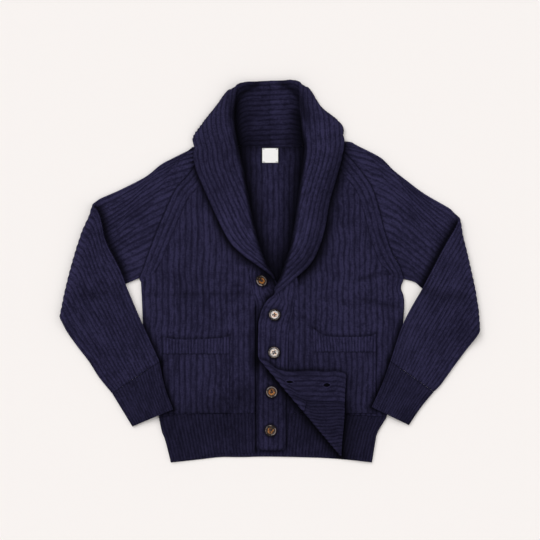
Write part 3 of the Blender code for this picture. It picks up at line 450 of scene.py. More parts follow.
def shade(line: Sequence, z: float | Array, width: float, depth: float, points: int = 16, side: int = 0
          ) -> Shade:
    """A shade along a plan line, over what lies below z."""
    line = at(np.asarray(line, float), np.linspace(0, 1, points))
    height = np.interp(np.linspace(0, 1, points), np.linspace(0, 1, np.size(z)), np.atleast_1d(z))
    return Shade(np.column_stack([line, height]), width, depth, side)


def linked(name: str, data: bpy.types.ID) -> bpy.types.Object:
    """A new object in the scene."""
    obj = bpy.data.objects.new(name, data)
    bpy.context.scene.collection.objects.link(obj)
    return obj


class Shell:
    """Grids of vertices and the faces between them, gathered into one closed mesh."""

    def __init__(self) -> None:
        """Starts with no vertices."""
        self.points: list[Array] = []
        self.uvs: list[Array] = []
        self.tones: list[Array] = []
        self.faces: dict[int, list[Array]] = {}
        self.count = 0

    def grid(self, points: Array, uv: Array, shared: Array | None = None, tone: float | Array = 1.0) -> Array:
        """Adds a grid of vertices.

        Args:
            points: places, rows by columns by 3, in millimetres.
            uv: ribs across and stitches along, rows by columns by 2.
            shared: for each vertex, the column of the vertex that it coincides with.
            tone: how light the cloth is painted, from 0 to 1: a painted shade.
        Returns:
            The vertices' numbers, rows by columns.
        """
        rows, columns = points.shape[:2]
        index = self.count + np.arange(rows * columns).reshape(rows, columns)
        self.points.append(points.reshape(-1, 3))
        self.uvs.append(uv.reshape(-1, 2))
        self.tones.append(np.broadcast_to(tone, points.shape[:2]).ravel())
        self.count += rows * columns
        return index if shared is None else np.take_along_axis(index, shared, axis=1)

    def quads(self, *corners: Array) -> None:
        """Adds faces of four corners; a face with two corners in one place becomes a triangle or goes."""
        quad = np.stack([c.ravel() for c in corners], axis=-1)
        same = quad == np.roll(quad, -1, axis=1)
        doubles = same.sum(axis=1)
        self.faces.setdefault(4, []).append(quad[doubles == 0])
        self.faces.setdefault(3, []).append(quad[doubles == 1][~same[doubles == 1]].reshape(-1, 3))

    def skin(self, index: Array, upper: bool = True) -> None:
        """Faces over a whole grid, the first side up if rows run right and columns away."""
        a, b, c, d = index[:-1, :-1], index[:-1, 1:], index[1:, 1:], index[1:, :-1]
        self.quads(*((a, d, c, b) if upper else (a, b, c, d)))

    def band(self, a: Array, b: Array) -> None:
        """Faces between two lines of vertices."""
        self.quads(a[:-1], a[1:], b[1:], b[:-1])

    def close(self, top: Array, low: Array) -> None:
        """Both faces of a piece of cloth and its four edges."""
        self.skin(top)
        self.skin(low, upper=False)
        self.band(top[::-1, 0], low[::-1, 0])
        self.band(top[:, -1], low[:, -1])
        self.band(top[0], low[0])
        self.band(top[-1, ::-1], low[-1, ::-1])

    def ring(self, index: Array, upper: bool = True) -> None:
        """Faces over a grid whose columns run once round."""
        self.skin(np.concatenate([index, index[:, :1]], axis=1), upper)

    def make(self, name: str, material: bpy.types.Material, shades: Sequence[Shade] = ()) -> bpy.types.Object:
        """Makes the Blender object, in metres, with the ribs and stitches as its UV map.

        Args:
            name: the piece's name.
            material: its finish.
            shades: the painted shade that darkens it; the product is kept as the attribute "shade".
        """
        points = np.concatenate(self.points)
        kept = np.concatenate(self.tones).astype(float)
        for one in shades:
            kept *= one.keeps(points)
        points = points * MM
        points[:, 0] -= CENTRE[0] * MM
        points[:, 1] -= CENTRE[1] * MM
        uv = np.concatenate(self.uvs)
        groups = [np.concatenate(parts) for _, parts in sorted(self.faces.items())]
        groups = [g for g in groups if len(g)]
        used, flat = np.unique(np.concatenate([g.ravel() for g in groups]), return_inverse=True)
        points, uv, kept = points[used], uv[used], kept[used]
        cuts = np.cumsum([g.size for g in groups])[:-1]
        groups = [part.reshape(g.shape) for part, g in zip(np.split(flat.ravel(), cuts), groups)]
        volume = sum(np.einsum("ij,ij->", points[g[:, 0]], np.cross(points[g[:, k]], points[g[:, k + 1]]))
                     for g in groups for k in range(1, g.shape[1] - 1))
        if volume < 0:
            groups = [g[:, ::-1] for g in groups]
        loops = np.concatenate([g.ravel() for g in groups]).astype(np.int32)
        sizes = np.concatenate([np.full(len(g), g.shape[1]) for g in groups])
        mesh = bpy.data.meshes.new(name)
        mesh.vertices.add(len(points))
        mesh.vertices.foreach_set("co", points.astype(np.float32).ravel())
        mesh.loops.add(len(loops))
        mesh.loops.foreach_set("vertex_index", loops)
        mesh.polygons.add(len(sizes))
        mesh.polygons.foreach_set("loop_start", (np.cumsum(sizes) - sizes).astype(np.int32))
        mesh.polygons.foreach_set("use_smooth", np.ones(len(sizes), bool))
        layer = mesh.uv_layers.new(name="knit")
        layer.data.foreach_set("uv", uv[loops].astype(np.float32).ravel())
        mesh.attributes.new("shade", "FLOAT", "POINT").data.foreach_set("value", kept.astype(np.float32))
        mesh.update(calc_edges=True)
        mesh.materials.append(material)
        return linked(name, mesh)


# ---------------------------------------------------------------------------------------- lay

class Flat:
    """Cloth that lies at a height given by its place."""

    def __init__(self, base: Height, tone: float = BODY_TONE) -> None:
        """Takes the height of the underside as a function of plan points, and the cloth's painted shade."""
        self.base, self.light = base, tone

    def tone(self, xy: Array) -> Array:
        """How light the cloth is painted at points of its cut: its painted shade."""
        return np.full(xy.shape[:-1], self.light)

    def place(self, xy: Array, h: Array) -> Array:
        """Where points h above the underside lie: the plan point, with the base and h as its height."""
        return np.concatenate([xy, (self.base(xy) + h)[..., None]], axis=-1)


class Fold:
    """A straight fold that turns cloth up and back over itself."""

    def __init__(self, edge: Sequence, inward: Sequence, radius: float, stack: float, base: Height,
                 rest: Callable[[Array, Array, Array], Array], tones: tuple[float, float],
                 sway: Callable[[Array, Array], Array] | None = None,
                 bulge: Sequence[float] = (0.0,)) -> None:
        """Sets the fold.

        Args:
            edge: two points of the fold's visible edge.
            inward: a point on the side of the cloth that stays.
            radius: outer radius of the bend.
            stack: thickness of what is folded.
            base: height of the underside before the fold.
            rest: height of what the turned cloth rests on, from place, bend height and run.
            tones: how light the cloth is painted before the fold and after it: painted shade.
            sway: how far the turned cloth is pushed sideways, from place and run.
            bulge: how far the bend stands out, at even steps along the fold's edge.
        """
        start, self.u, self.n, self.size = axes(*edge, inward)
        self.a = start + self.n * radius
        self.radius, self.stack, self.middle = radius, stack, radius - stack / 2
        self.base, self.rest, self.tones, self.sway, self.bulge = base, rest, tones, sway, bulge

    def tone(self, xy: Array) -> Array:
        """How light the cloth is painted at points of its cut: painted shade that changes past the fold."""
        turned = ease((self.past(xy) - 2 * self.middle) / 10)
        return self.tones[0] + (self.tones[1] - self.tones[0]) * turned

    def past(self, xy: Array) -> Array:
        """Distance past the start of the bend."""
        return -((xy - self.a) @ self.n)

    def place(self, xy: Array, h: Array) -> Array:
        """Where points h above the underside of the flat cut lie.

        Before the bend they stay.  In it they turn about its axis by the distance past its start
        over the radius of the middle layer.  After it they run back over the cloth, face down.
        """
        d = self.past(xy)
        foot = xy + d[..., None] * self.n
        turn = np.clip(d / self.middle, 0, math.pi)
        rho = self.radius - h
        run = np.maximum(d - math.pi * self.middle, 0)
        bend = foot - (rho * np.sin(turn) - run)[..., None] * self.n
        along = (foot - self.a) @ self.u / self.size * (len(self.bulge) - 1)
        out = np.interp(along, np.arange(len(self.bulge)), self.bulge)
        bend = bend - (out * np.sin(turn))[..., None] * self.n
        if self.sway is not None:
            bend = bend + self.sway(bend, run)
        start = self.base(foot)
        flat_z = self.base(xy) + h
        bend_z = start + self.radius - rho * np.cos(turn)
        back_z = self.rest(bend, start + 2 * self.radius - self.stack, run) + self.stack - h
        plan = np.where(d[..., None] <= 0, xy, bend)
        z = np.where(d <= 0, flat_z, np.where(run > 0, back_z, bend_z))
        return np.concatenate([plan, z[..., None]], axis=-1)

    def before(self, plan: Array) -> Array:
        """The point of the flat cut that comes to lie, face down, at a point in plan."""
        straight = plan
        for _ in range(6 if self.sway is not None else 0):
            straight = plan - self.sway(straight, (straight - self.a) @ self.n)
        beyond = (straight - self.a) @ self.n
        foot = straight - beyond[..., None] * self.n
        return foot - (beyond + math.pi * self.middle)[..., None] * self.n


@dataclass(frozen=True)
class Crease:
    """A soft ridge or trough along a straight line: a bell across it that fades at both ends."""

    start: tuple[float, float]
    end: tuple[float, float]
    width: float
    height: float

    def lift(self, xy: Array) -> Array:
        """Height that it adds: height times exp(-(distance / width) squared), faded along its length."""
        a, u, n, size = axes(self.start, self.end)
        along, across = (xy - a) @ u / size, (xy - a) @ n
        fade = ease(along / 0.3 + 0.15) * ease((1 - along) / 0.3 + 0.15)
        return self.height * np.exp(-(across / self.width) ** 2) * fade


RIGHT_CREASES = [Crease(*row[:4]) for row in WRINKLES if row[0][0] < -30]
LEFT_CREASES = [Crease(*row[:4]) for row in WRINKLES if row[0][0] > 30]


def with_creases(base: Height, creases: Sequence[Crease], seed: int, swell: float) -> Height:
    """A base with creases and a soft swell of the cloth on it."""
    def height(xy: Array) -> Array:
        soft = swell * (0.5 + 0.5 * ripple(xy[..., 0], xy[..., 1], seed, 220))
        return base(xy) + soft + sum(c.lift(xy) for c in creases)
    return height


def level(k: float) -> Height:
    """Underside of layer k."""
    return lambda xy: np.full(xy.shape[:-1], k * LEVEL)


def over_button_band(xy: Array) -> Array:
    """The upper front lies on the back, and steps up on to the button band."""
    return LEVEL * (1 + ease((66 - xy[..., 0]) / 31))


def corner_rest(xy: Array, start: Array, run: Array) -> Array:
    """Underside of the turned corner: it settles on the pocket, and its far point lifts."""
    low = 3 * LEVEL + 1.4
    settled = low + (start - low) * (1 - ease(run / SETTLE))
    return settled + CURL[2] * ease((run - CURL[0]) / CURL[1])


def corner_sway(xy: Array, run: Array) -> Array:
    """The turned corner's free edge hangs level rather than along the straight fold's mirror line."""
    x, y = xy[..., 0], xy[..., 1]
    down = np.interp(x, *CORNER_DROP)
    side = -7 * ease((y + 330) / 120) * ease((x - 60) / 90)
    held = ease(run / 24)
    wave = 1.3 * ease(run / 60) * np.sin((x + 20) / 13)
    return np.stack([side * held, (down + wave) * held], axis=-1)


def height_over(line: Sequence, out: Sequence, start: float, run: float, top: float) -> Height:
    """Height that falls from top to 0 past a line; out is a point on the low side."""
    a, _, n, _ = axes(*line, out)
    return lambda xy: top * (1 - ease(((xy - a) @ n - start) / run))


# ---------------------------------------------------------------------------------------- panels

def cut_levels(levels: Array, low: Array, high: Array, scale_low: Array, scale_high: Array
               ) -> tuple[Array, Array, Array]:
    """Positions along each line of a grid, cut to that line's own ends, with close steps at both.

    Args:
        levels: positions that all lines share, lines by levels.
        low, high: the ends of each line.
        scale_low, scale_high: how much longer a step beside the edge is along the line than across it.
    Returns:
        Positions, the column that each one shares its vertex with, and its distance from the edge.
    """
    steps = np.array(EDGE_STEPS)
    span = high - low
    room = span * 0.45
    share = steps / steps[-1]
    foot = low[:, None] + np.minimum(steps * scale_low[:, None], room[:, None] * share)
    head = high[:, None] - np.minimum(steps * scale_high[:, None], room[:, None] * share)[:, ::-1]
    body = np.clip(levels, foot[:, -1:], head[:, :1])
    where = np.concatenate([foot, body, head], axis=1)
    count, k = body.shape[1], len(steps)
    shared = np.broadcast_to(np.arange(where.shape[1]), where.shape).copy()
    inner = shared[:, k:k + count]
    inner[levels <= foot[:, -1:] + 0.05] = k - 1
    inner[levels >= head[:, :1] - 0.05] = k + count
    distance = np.minimum((where - low[:, None]) / scale_low[:, None],
                          (high[:, None] - where) / scale_high[:, None])
    return where, shared, distance


def rib_positions(low: float, high: float, middle: float, pitch: float, per_rib: int = 8,
                  edges: tuple[bool, bool] = (False, False)) -> Array:
    """Columns across a panel: per_rib to each rib, its two ends, and close steps beside a cut edge."""
    first, last = math.ceil((low - middle) / pitch * per_rib), math.floor((high - middle) / pitch * per_rib)
    x = middle + np.arange(first, last + 1) * pitch / per_rib
    reach = [EDGE_STEPS[-1] + 0.3 if e else 0.2 for e in edges]
    x = x[(x > low + reach[0]) & (x < high - reach[1])]
    left = low + np.array(EDGE_STEPS if edges[0] else (0.0,))
    right = high - np.array(EDGE_STEPS if edges[1] else (0.0,))[::-1]
    return np.concatenate([left, x, right])


def hollowed(xy: Array) -> Array:
    """The body's left side drawn in below the arm, as a bell along Y that fades away from the side."""
    middle, size, depth = HOLLOW_L
    pull = depth * np.exp(-((xy[..., 1] - middle) / size) ** 2) * ease((xy[..., 0] - 215) / 60)
    return xy - np.stack([pull, 0 * pull], axis=-1)


def add_cloth(shell: Shell, lay: Flat | Fold, xy: Array, ribs: Array, stitches: Array, distance: Array,
              shared: Array | None = None, tone: float = 1.0) -> None:
    """Adds a closed sheet of rib knit.

    Args:
        shell: where it goes.
        lay: how the cloth lies.
        xy: the cut, rows by columns by 2.
        ribs, stitches: place across the ribs and along them.
        distance: distance from the nearest edge.
        shared: for each vertex, the column of the vertex that it coincides with.
        tone: how light it is painted beside the cloth round it: a painted shade.
    """
    tone = tone * lay.tone(xy)
    uv = np.stack([ribs, stitches], axis=-1)
    top, low = wall_heights(ribs, edge_round(distance))
    shell.close(shell.grid(lay.place(xy, top), uv, shared, tone),
                shell.grid(lay.place(xy, low), behind(uv), shared, tone))


def add_panel(shell: Shell, lower: Array, upper: Array, pitch: float, middle: float, lay: Flat | Fold,
              edges: tuple[bool, bool] = (False, False), rows: Array | None = None, wobble: float = 1.9,
              per_rib: int = 7, step: float = 6.0) -> None:
    """Adds a panel with ribs along Y between a lower and an upper edge.

    The surface is z = base(x, y) + thickness(x), with x across the ribs and y along them, cut to
    lower(x) < y < upper(x).

    Args:
        shell: where it goes.
        lower, upper: edge lines in the order of x.
        pitch: rib to rib.
        middle: x of one rib's crest.
        lay: how the cloth lies.
        edges: whether the left and the right end is a straight cut edge.
        rows: heights of the mesh rows.
        wobble: how far the ribs stray sideways.
        per_rib: mesh columns to a rib.
        step: length of a mesh row, where no rows are given.
    """
    low_x = max(lower[0, 0], upper[0, 0])
    high_x = min(lower[-1, 0], upper[-1, 0]) - (CUT_TRIM if edges[1] else 0)
    x = rib_positions(low_x, high_x, middle, pitch, per_rib, edges)
    foot, head = np.interp(x, *lower.T), np.interp(x, *upper.T)
    head = np.maximum(head, foot + 0.4)
    slant_low = np.hypot(1, np.gradient(foot, x))
    slant_high = np.hypot(1, np.gradient(head, x))
    if rows is None:
        rows = np.arange(foot.min(), head.max(), step)
    levels = np.broadcast_to(rows, (len(x), len(rows)))
    y, shared, distance = cut_levels(levels, foot, head, slant_low, slant_high)
    across = np.broadcast_to(x[:, None], y.shape)
    if edges[0]:
        distance = np.minimum(distance, across - low_x)
    if edges[1]:
        distance = np.minimum(distance, high_x - across)
    inside = ease(distance / 14)
    stray = wobble * inside * ripple(across * 0.6, y * 0.55, int(abs(middle) * 7) + 3, 80)
    xy = hollowed(np.stack([across + stray, y], axis=-1))
    add_cloth(shell, lay, xy, (across - middle) / pitch, y / STITCH, distance, shared)


def add_ribbon(shell: Shell, start: Array, end: Array, ribs: int, lay: Flat | Fold, per_rib: int = 8,
               along_first: bool = False, step: float = ROW_STEP,
               sides: Sequence[Sequence | None] = (None, None), tone: float = 1.0) -> None:
    """Adds a strip whose ribs run from one edge line to the other, or beside them.

    The surface is start(f) + v (end(f) - start(f)), with f along the edge lines and v between them.

    Args:
        shell: where it goes.
        start, end: the two edge lines, in the same direction.
        ribs: how many ribs there are.
        lay: how the cloth lies.
        per_rib: mesh columns to a rib.
        along_first: whether the ribs run along the edge lines.
        step: length of a mesh row along the ribs.
        sides: the first and the last side, where one isn't straight.
        tone: how light it is painted beside the cloth round it: a painted shade.
    """
    width = np.linalg.norm(at(end, [0.5]) - at(start, [0.5]))
    run = (length(start) + length(end)) / 2
    across, along = (width, run) if along_first else (run, width)
    edge = np.array(EDGE_STEPS)
    inner = np.arange(1, ribs * per_rib) / per_rib / ribs
    inner = inner[(inner * across > edge[-1] + 0.3) & ((1 - inner) * across > edge[-1] + 0.3)]
    f = np.concatenate([edge / across, inner, 1 - edge[::-1] / across])
    rows = np.linspace(edge[-1], along - edge[-1], max(2, round(along / step)))[1:-1]
    v = np.concatenate([edge, rows, along - edge[::-1]]) / along
    if along_first:
        a, b = at(start, v), at(end, v)
        xy = a[None] + (b - a)[None] * f[:, None, None]
    else:
        a, b = at(start, f), at(end, f)
        xy = a[:, None] + (b - a)[:, None] * v[None, :, None]
        for side, near in zip(sides, ((1 - f) ** 6, f**6)):
            if side is not None:
                line = at(smooth(side), v)
                xy = xy + near[:, None, None] * (line - line[0] - (line[-1] - line[0]) * v[:, None])
    distance = np.minimum(np.minimum(f, 1 - f)[:, None] * across, np.minimum(v, 1 - v)[None] * along)
    phase, stitches = np.broadcast_arrays((f * ribs + 0.5)[:, None], v[None] * along / STITCH)
    add_cloth(shell, lay, xy, phase, stitches, distance, tone=tone)


# ---------------------------------------------------------------------------------------- finishes

class Nodes:
    """Short ways to wire a material's nodes."""

    def __init__(self, name: str) -> None:
        """Makes an empty node material with its output, its Principled shader and its place in space."""
        self.material = bpy.data.materials.new(name)
        self.material.use_nodes = True
        self.tree = self.material.node_tree
        self.tree.nodes.clear()
        self.shader = self.tree.nodes.new("ShaderNodeBsdfPrincipled")
        self.node("OutputMaterial", {"Surface": self.shader.outputs[0]}, None)
        self.where = self.node("TexCoord", {}, "Object")

    def put(self, socket: bpy.types.NodeSocket, value: object) -> None:
        """Sets a socket to a number or colour, or joins it to another socket."""
        if isinstance(value, bpy.types.NodeSocket):
            self.tree.links.new(value, socket)
        else:
            socket.default_value = value

    def node(self, kind: str, inputs: dict, output: str | int | None = 0, **settings: str) -> object:
        """Adds a node.

        Args:
            kind: which node.
            inputs: values or sockets for its inputs, by name or number.
            output: which output to give, or None for all of them.
            settings: its properties.
        """
        node = self.tree.nodes.new("ShaderNode" + kind)
        for key, value in settings.items():
            setattr(node, key, value)
        for key, value in inputs.items():
            self.put(node.inputs[key], value)
        return node.outputs if output is None else node.outputs[output]

    def math(self, operation: str, *values: object) -> bpy.types.NodeSocket:
        """A Math node."""
        return self.node("Math", dict(enumerate(values)), operation=operation)

    def times(self, first: object, *others: object) -> bpy.types.NodeSocket:
        """The product of values."""
        for other in others:
            first = self.math("MULTIPLY", first, other)
        return first

    def line(self, value: object, slope: float, offset: object) -> bpy.types.NodeSocket:
        """The value times a slope, plus an offset."""
        return self.math("MULTIPLY_ADD", value, slope, offset)

    def rest(self, value: object) -> bpy.types.NodeSocket:
        """One less the value."""
        return self.math("SUBTRACT", 1.0, value)

    def noise(self, vector: object, scale: float, detail: float = 3.0, rough: float = 0.55
              ) -> bpy.types.NodeSocket:
        """A noise texture's value."""
        return self.node("TexNoise", {"Vector": vector, "Scale": scale, "Detail": detail, "Roughness": rough})

    def mix(self, share: object, a: object, b: object) -> bpy.types.NodeSocket:
        """A mix of two colours, which are the sixth and seventh inputs."""
        return self.node("Mix", {0: share, 6: a, 7: b}, 2, data_type="RGBA")

    def span(self, value: object, low: float, high: float, to_low: float = 0.0, to_high: float = 1.0
             ) -> bpy.types.NodeSocket:
        """A value carried smoothly from one range to another."""
        ends = {"From Min": low, "From Max": high, "To Min": to_low, "To Max": to_high}
        return self.node("MapRange", {"Value": value} | ends, interpolation_type="SMOOTHSTEP")

    def bump(self, height: object, distance: float, strength: float = 1.0) -> bpy.types.NodeSocket:
        """A bumped normal."""
        return self.node("Bump", {"Distance": distance, "Strength": strength, "Height": height})

    def knit_map(self) -> Sequence[bpy.types.NodeSocket]:
        """The parts of the map "knit": ribs across and stitches along, or what a finish says of them."""
        return self.node("SeparateXYZ", {0: self.node("UVMap", {}, uv_map="knit")}, None)

    def finished(self, **inputs: object) -> bpy.types.Material:
        """Sets the shader's inputs, each named with _ for a space, and gives the material."""
        for key, value in inputs.items():
            self.put(self.shader.inputs[key.replace("_", " ")], value)
        return self.material


@dataclass(frozen=True)
class RibKnitFinish:
    """Lambswool rib knit: stitch chevrons on each rib, bars in the grooves, a soft nap, and painted shade."""

    name: str = "rib_knit"
    # the crest is the rib's lit colour, the groove its painted shade
    crest: Colour = (0.0380, 0.0340, 0.0890)
    groove: Colour = (0.0050, 0.0044, 0.0140)
    shadow: Colour = (0.0012, 0.0011, 0.003)
    sheen: Colour = (0.2, 0.19, 0.45)
    nap: float = 0.02
    stitch_depth: float = 0.0009

    def streaks(self, n: Nodes, across: float, along: float, stray: float, detail: float
                ) -> bpy.types.NodeSocket:
        """Lighter and darker streaks along the ribs, around 1.

        Args:
            n: the material's nodes.
            across, along: how many there are to a rib and to a stitch.
            stray: how much they differ from place to place.
            detail: the noise's detail.
        """
        ribs, stitches, _ = n.knit_map()
        parts = (n.times(ribs, across), n.times(stitches, along), n.times(n.noise(n.where, 3.0, 0.0), stray))
        vector = n.node("CombineXYZ", dict(enumerate(parts)))
        return n.line(n.noise(vector, 1.0, detail, 0.6), 1.8, 0.1)

    def material(self) -> bpy.types.Material:
        """The knit's material, on the map of ribs across and stitches along."""
        n = Nodes(self.name)
        ribs, stitches, _ = n.knit_map()
        rib = n.math("FRACT", ribs)
        off = n.times(n.math("MINIMUM", rib, n.rest(rib)), 2.0)
        waver = n.times(n.math("SUBTRACT", n.noise(n.where, 260.0, 2.0), 0.5), 0.5)
        slant = n.math("ADD", n.line(off, 1.1, stitches), waver)
        chevron = n.math("SINE", n.times(slant, 2 * math.pi))
        bar = n.math("SINE", n.line(stitches, 2 * math.pi, math.pi / 2))
        in_groove = n.span(off, 0.55, 0.85)
        knit = n.times(n.line(chevron, 0.5, 0.5), n.line(n.span(off, 0.0, 0.16), 0.55, 0.45))
        purl = n.line(bar, 0.3, 0.3)
        stitch = n.math("ADD", n.times(knit, n.rest(in_groove)), n.times(purl, in_groove))
        height = n.line(n.noise(n.where, 1500.0, 4.0, 0.7), 0.6, stitch)
        # painted shade: darker towards each groove, with a noisy edge, and between the stitches
        groove_shade_waver = n.line(n.noise(n.where, 95.0, 3.0, 0.6), 0.8, -0.4)
        tone = n.times(n.rest(n.span(n.math("ADD", off, groove_shade_waver), 0.42, 0.92)), n.line(stitch, 0.4, 0.6))
        patch = n.line(n.noise(n.where, 9.0, 4.0, 0.6), 1.5, 0.25)
        heather = n.line(n.noise(n.where, 260.0, 4.0, 0.85), 3.6, -0.8)
        uneven = n.times(patch, self.streaks(n, 0.9, 0.055, 30.0, 3.0))
        lit = n.times(n.line(tone, 0.54, 0.30), uneven, heather, self.streaks(n, 2.4, 0.16, 60.0, 2.0))
        colour = n.mix(lit, (*self.groove, 1), (*self.crest, 1))
        # the attribute "shade" carries each piece's painted shade and mixes the colour towards the shadow
        # colour
        kept = n.node("Attribute", {}, "Fac", attribute_name="shade")
        return n.finished(Base_Color=n.mix(kept, (*self.shadow, 1), colour), Roughness=0.9,
                          Normal=n.bump(height, self.stitch_depth, 0.9), Specular_IOR_Level=0.05,
                          Sheen_Weight=self.nap, Sheen_Roughness=0.5, Sheen_Tint=(*self.sheen, 1))


@dataclass(frozen=True)
class HornFinish:
    """Polished horn: a dark rim with pale streaks painted as glints, and an amber and brown streaked middle.
    """

    name: str = "horn"
    rim: Colour = (0.010, 0.006, 0.004)
    amber: Colour = (0.42, 0.16, 0.035)
    # pale streaks on the rim, painted glints
    pale: Colour = (0.34, 0.27, 0.25)
    radius: float = 12.0

    def material(self) -> bpy.types.Material:
        """The horn's material; its map holds the distance from the middle and the turn."""
        n = Nodes(self.name)
        out = n.times(n.knit_map()[0], 1 / self.radius)
        streak, cloud = n.noise(n.where, 180.0, 5.0, 0.6), n.noise(n.where, 620.0, 3.0, 0.5)
        share = n.times(n.span(out, 0.42, 0.66, 1.0, 0.0), n.span(n.line(cloud, 0.5, streak), 0.67, 0.87))
        streaked = n.mix(share, (*self.rim, 1), (*self.amber, 1))
        # a ring of pale streaks near the rim: painted glints
        ring = n.times(n.span(out, 0.70, 0.78), n.span(out, 0.84, 0.93, 1.0, 0.0))
        painted_glint = n.times(n.span(n.noise(n.where, 110.0, 3.0, 0.6), 0.44, 0.56), ring)
        return n.finished(Base_Color=n.mix(n.times(painted_glint, 0.62), streaked, (*self.pale, 1)), Roughness=0.13,
                          Specular_IOR_Level=0.22, Coat_Weight=0.15, Coat_Roughness=0.05)


@dataclass(frozen=True)
class TapeFinish:
    """Plain white woven tape."""

    name: str = "neck_tape"
    colour: Colour = (0.95, 0.94, 0.93)
    thread: float = 2200.0
    weave_depth: float = 0.00012

    def material(self) -> bpy.types.Material:
        """The tape's material: a fine plain weave, two waves across each other."""
        n = Nodes(self.name)
        x, y, _ = n.node("SeparateXYZ", {0: n.where}, None)
        warp, weft = (n.math("SINE", n.times(axis, self.thread * math.pi)) for axis in (x, y))
        tone = n.line(n.noise(n.where, 300.0), 0.25, 0.75)
        dark = (*(c * 0.95 for c in self.colour), 1)
        return n.finished(Base_Color=n.mix(tone, dark, (*self.colour, 1)), Roughness=0.75, Sheen_Weight=0.1,
                          Normal=n.bump(n.times(warp, weft), self.weave_depth))


@dataclass(frozen=True)
class PlainFinish:
    """A plain finish for sewing thread and for the floor."""

    name: str
    colour: Colour
    roughness: float
    grain: float = 0.0

    def material(self) -> bpy.types.Material:
        """The material, with a faint grain where one is given."""
        n = Nodes(self.name)
        dark = (*(c * (1 - self.grain) for c in self.colour), 1)
        colour = n.mix(n.noise(n.where, 900.0), dark, (*self.colour, 1))
        return n.finished(Base_Color=colour, Roughness=self.roughness)


# ---------------------------------------------------------------------------------------- garment

@dataclass
class Wardrobe:
    """The finishes that the pieces share, and how a finished piece joins the frame."""

    shades: list[Shade] = field(default_factory=list)
    knit: bpy.types.Material = field(default_factory=lambda: RibKnitFinish().material())
    horn: bpy.types.Material = field(default_factory=lambda: HornFinish().material())
    tape: bpy.types.Material = field(default_factory=lambda: TapeFinish().material())
    thread: bpy.types.Material = field(
        default_factory=lambda: PlainFinish("sewing_thread", (0.02, 0.018, 0.03), 0.7, 0.4).material())

    def join(self, piece: bpy.types.Object, slot: str, *nodes: str) -> bpy.types.Object:
        """Sets a piece in the frame, in place of the CAD nodes that it stands for."""
        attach(piece, "root")
        if nodes:
            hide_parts(*nodes)
        log.info("%s: %d faces", piece.name, len(piece.data.polygons))
        return piece

    def cloth(self, shell: Shell, name: str, node: str, flat: Point, area: float, rests_on: Sequence[str],
              held: Held = Held.LAID) -> None:
        """Makes a piece of the knit and sets it in the frame."""
        piece = self.join(shell.make(name, self.knit, self.shades), "rib_knit", node)


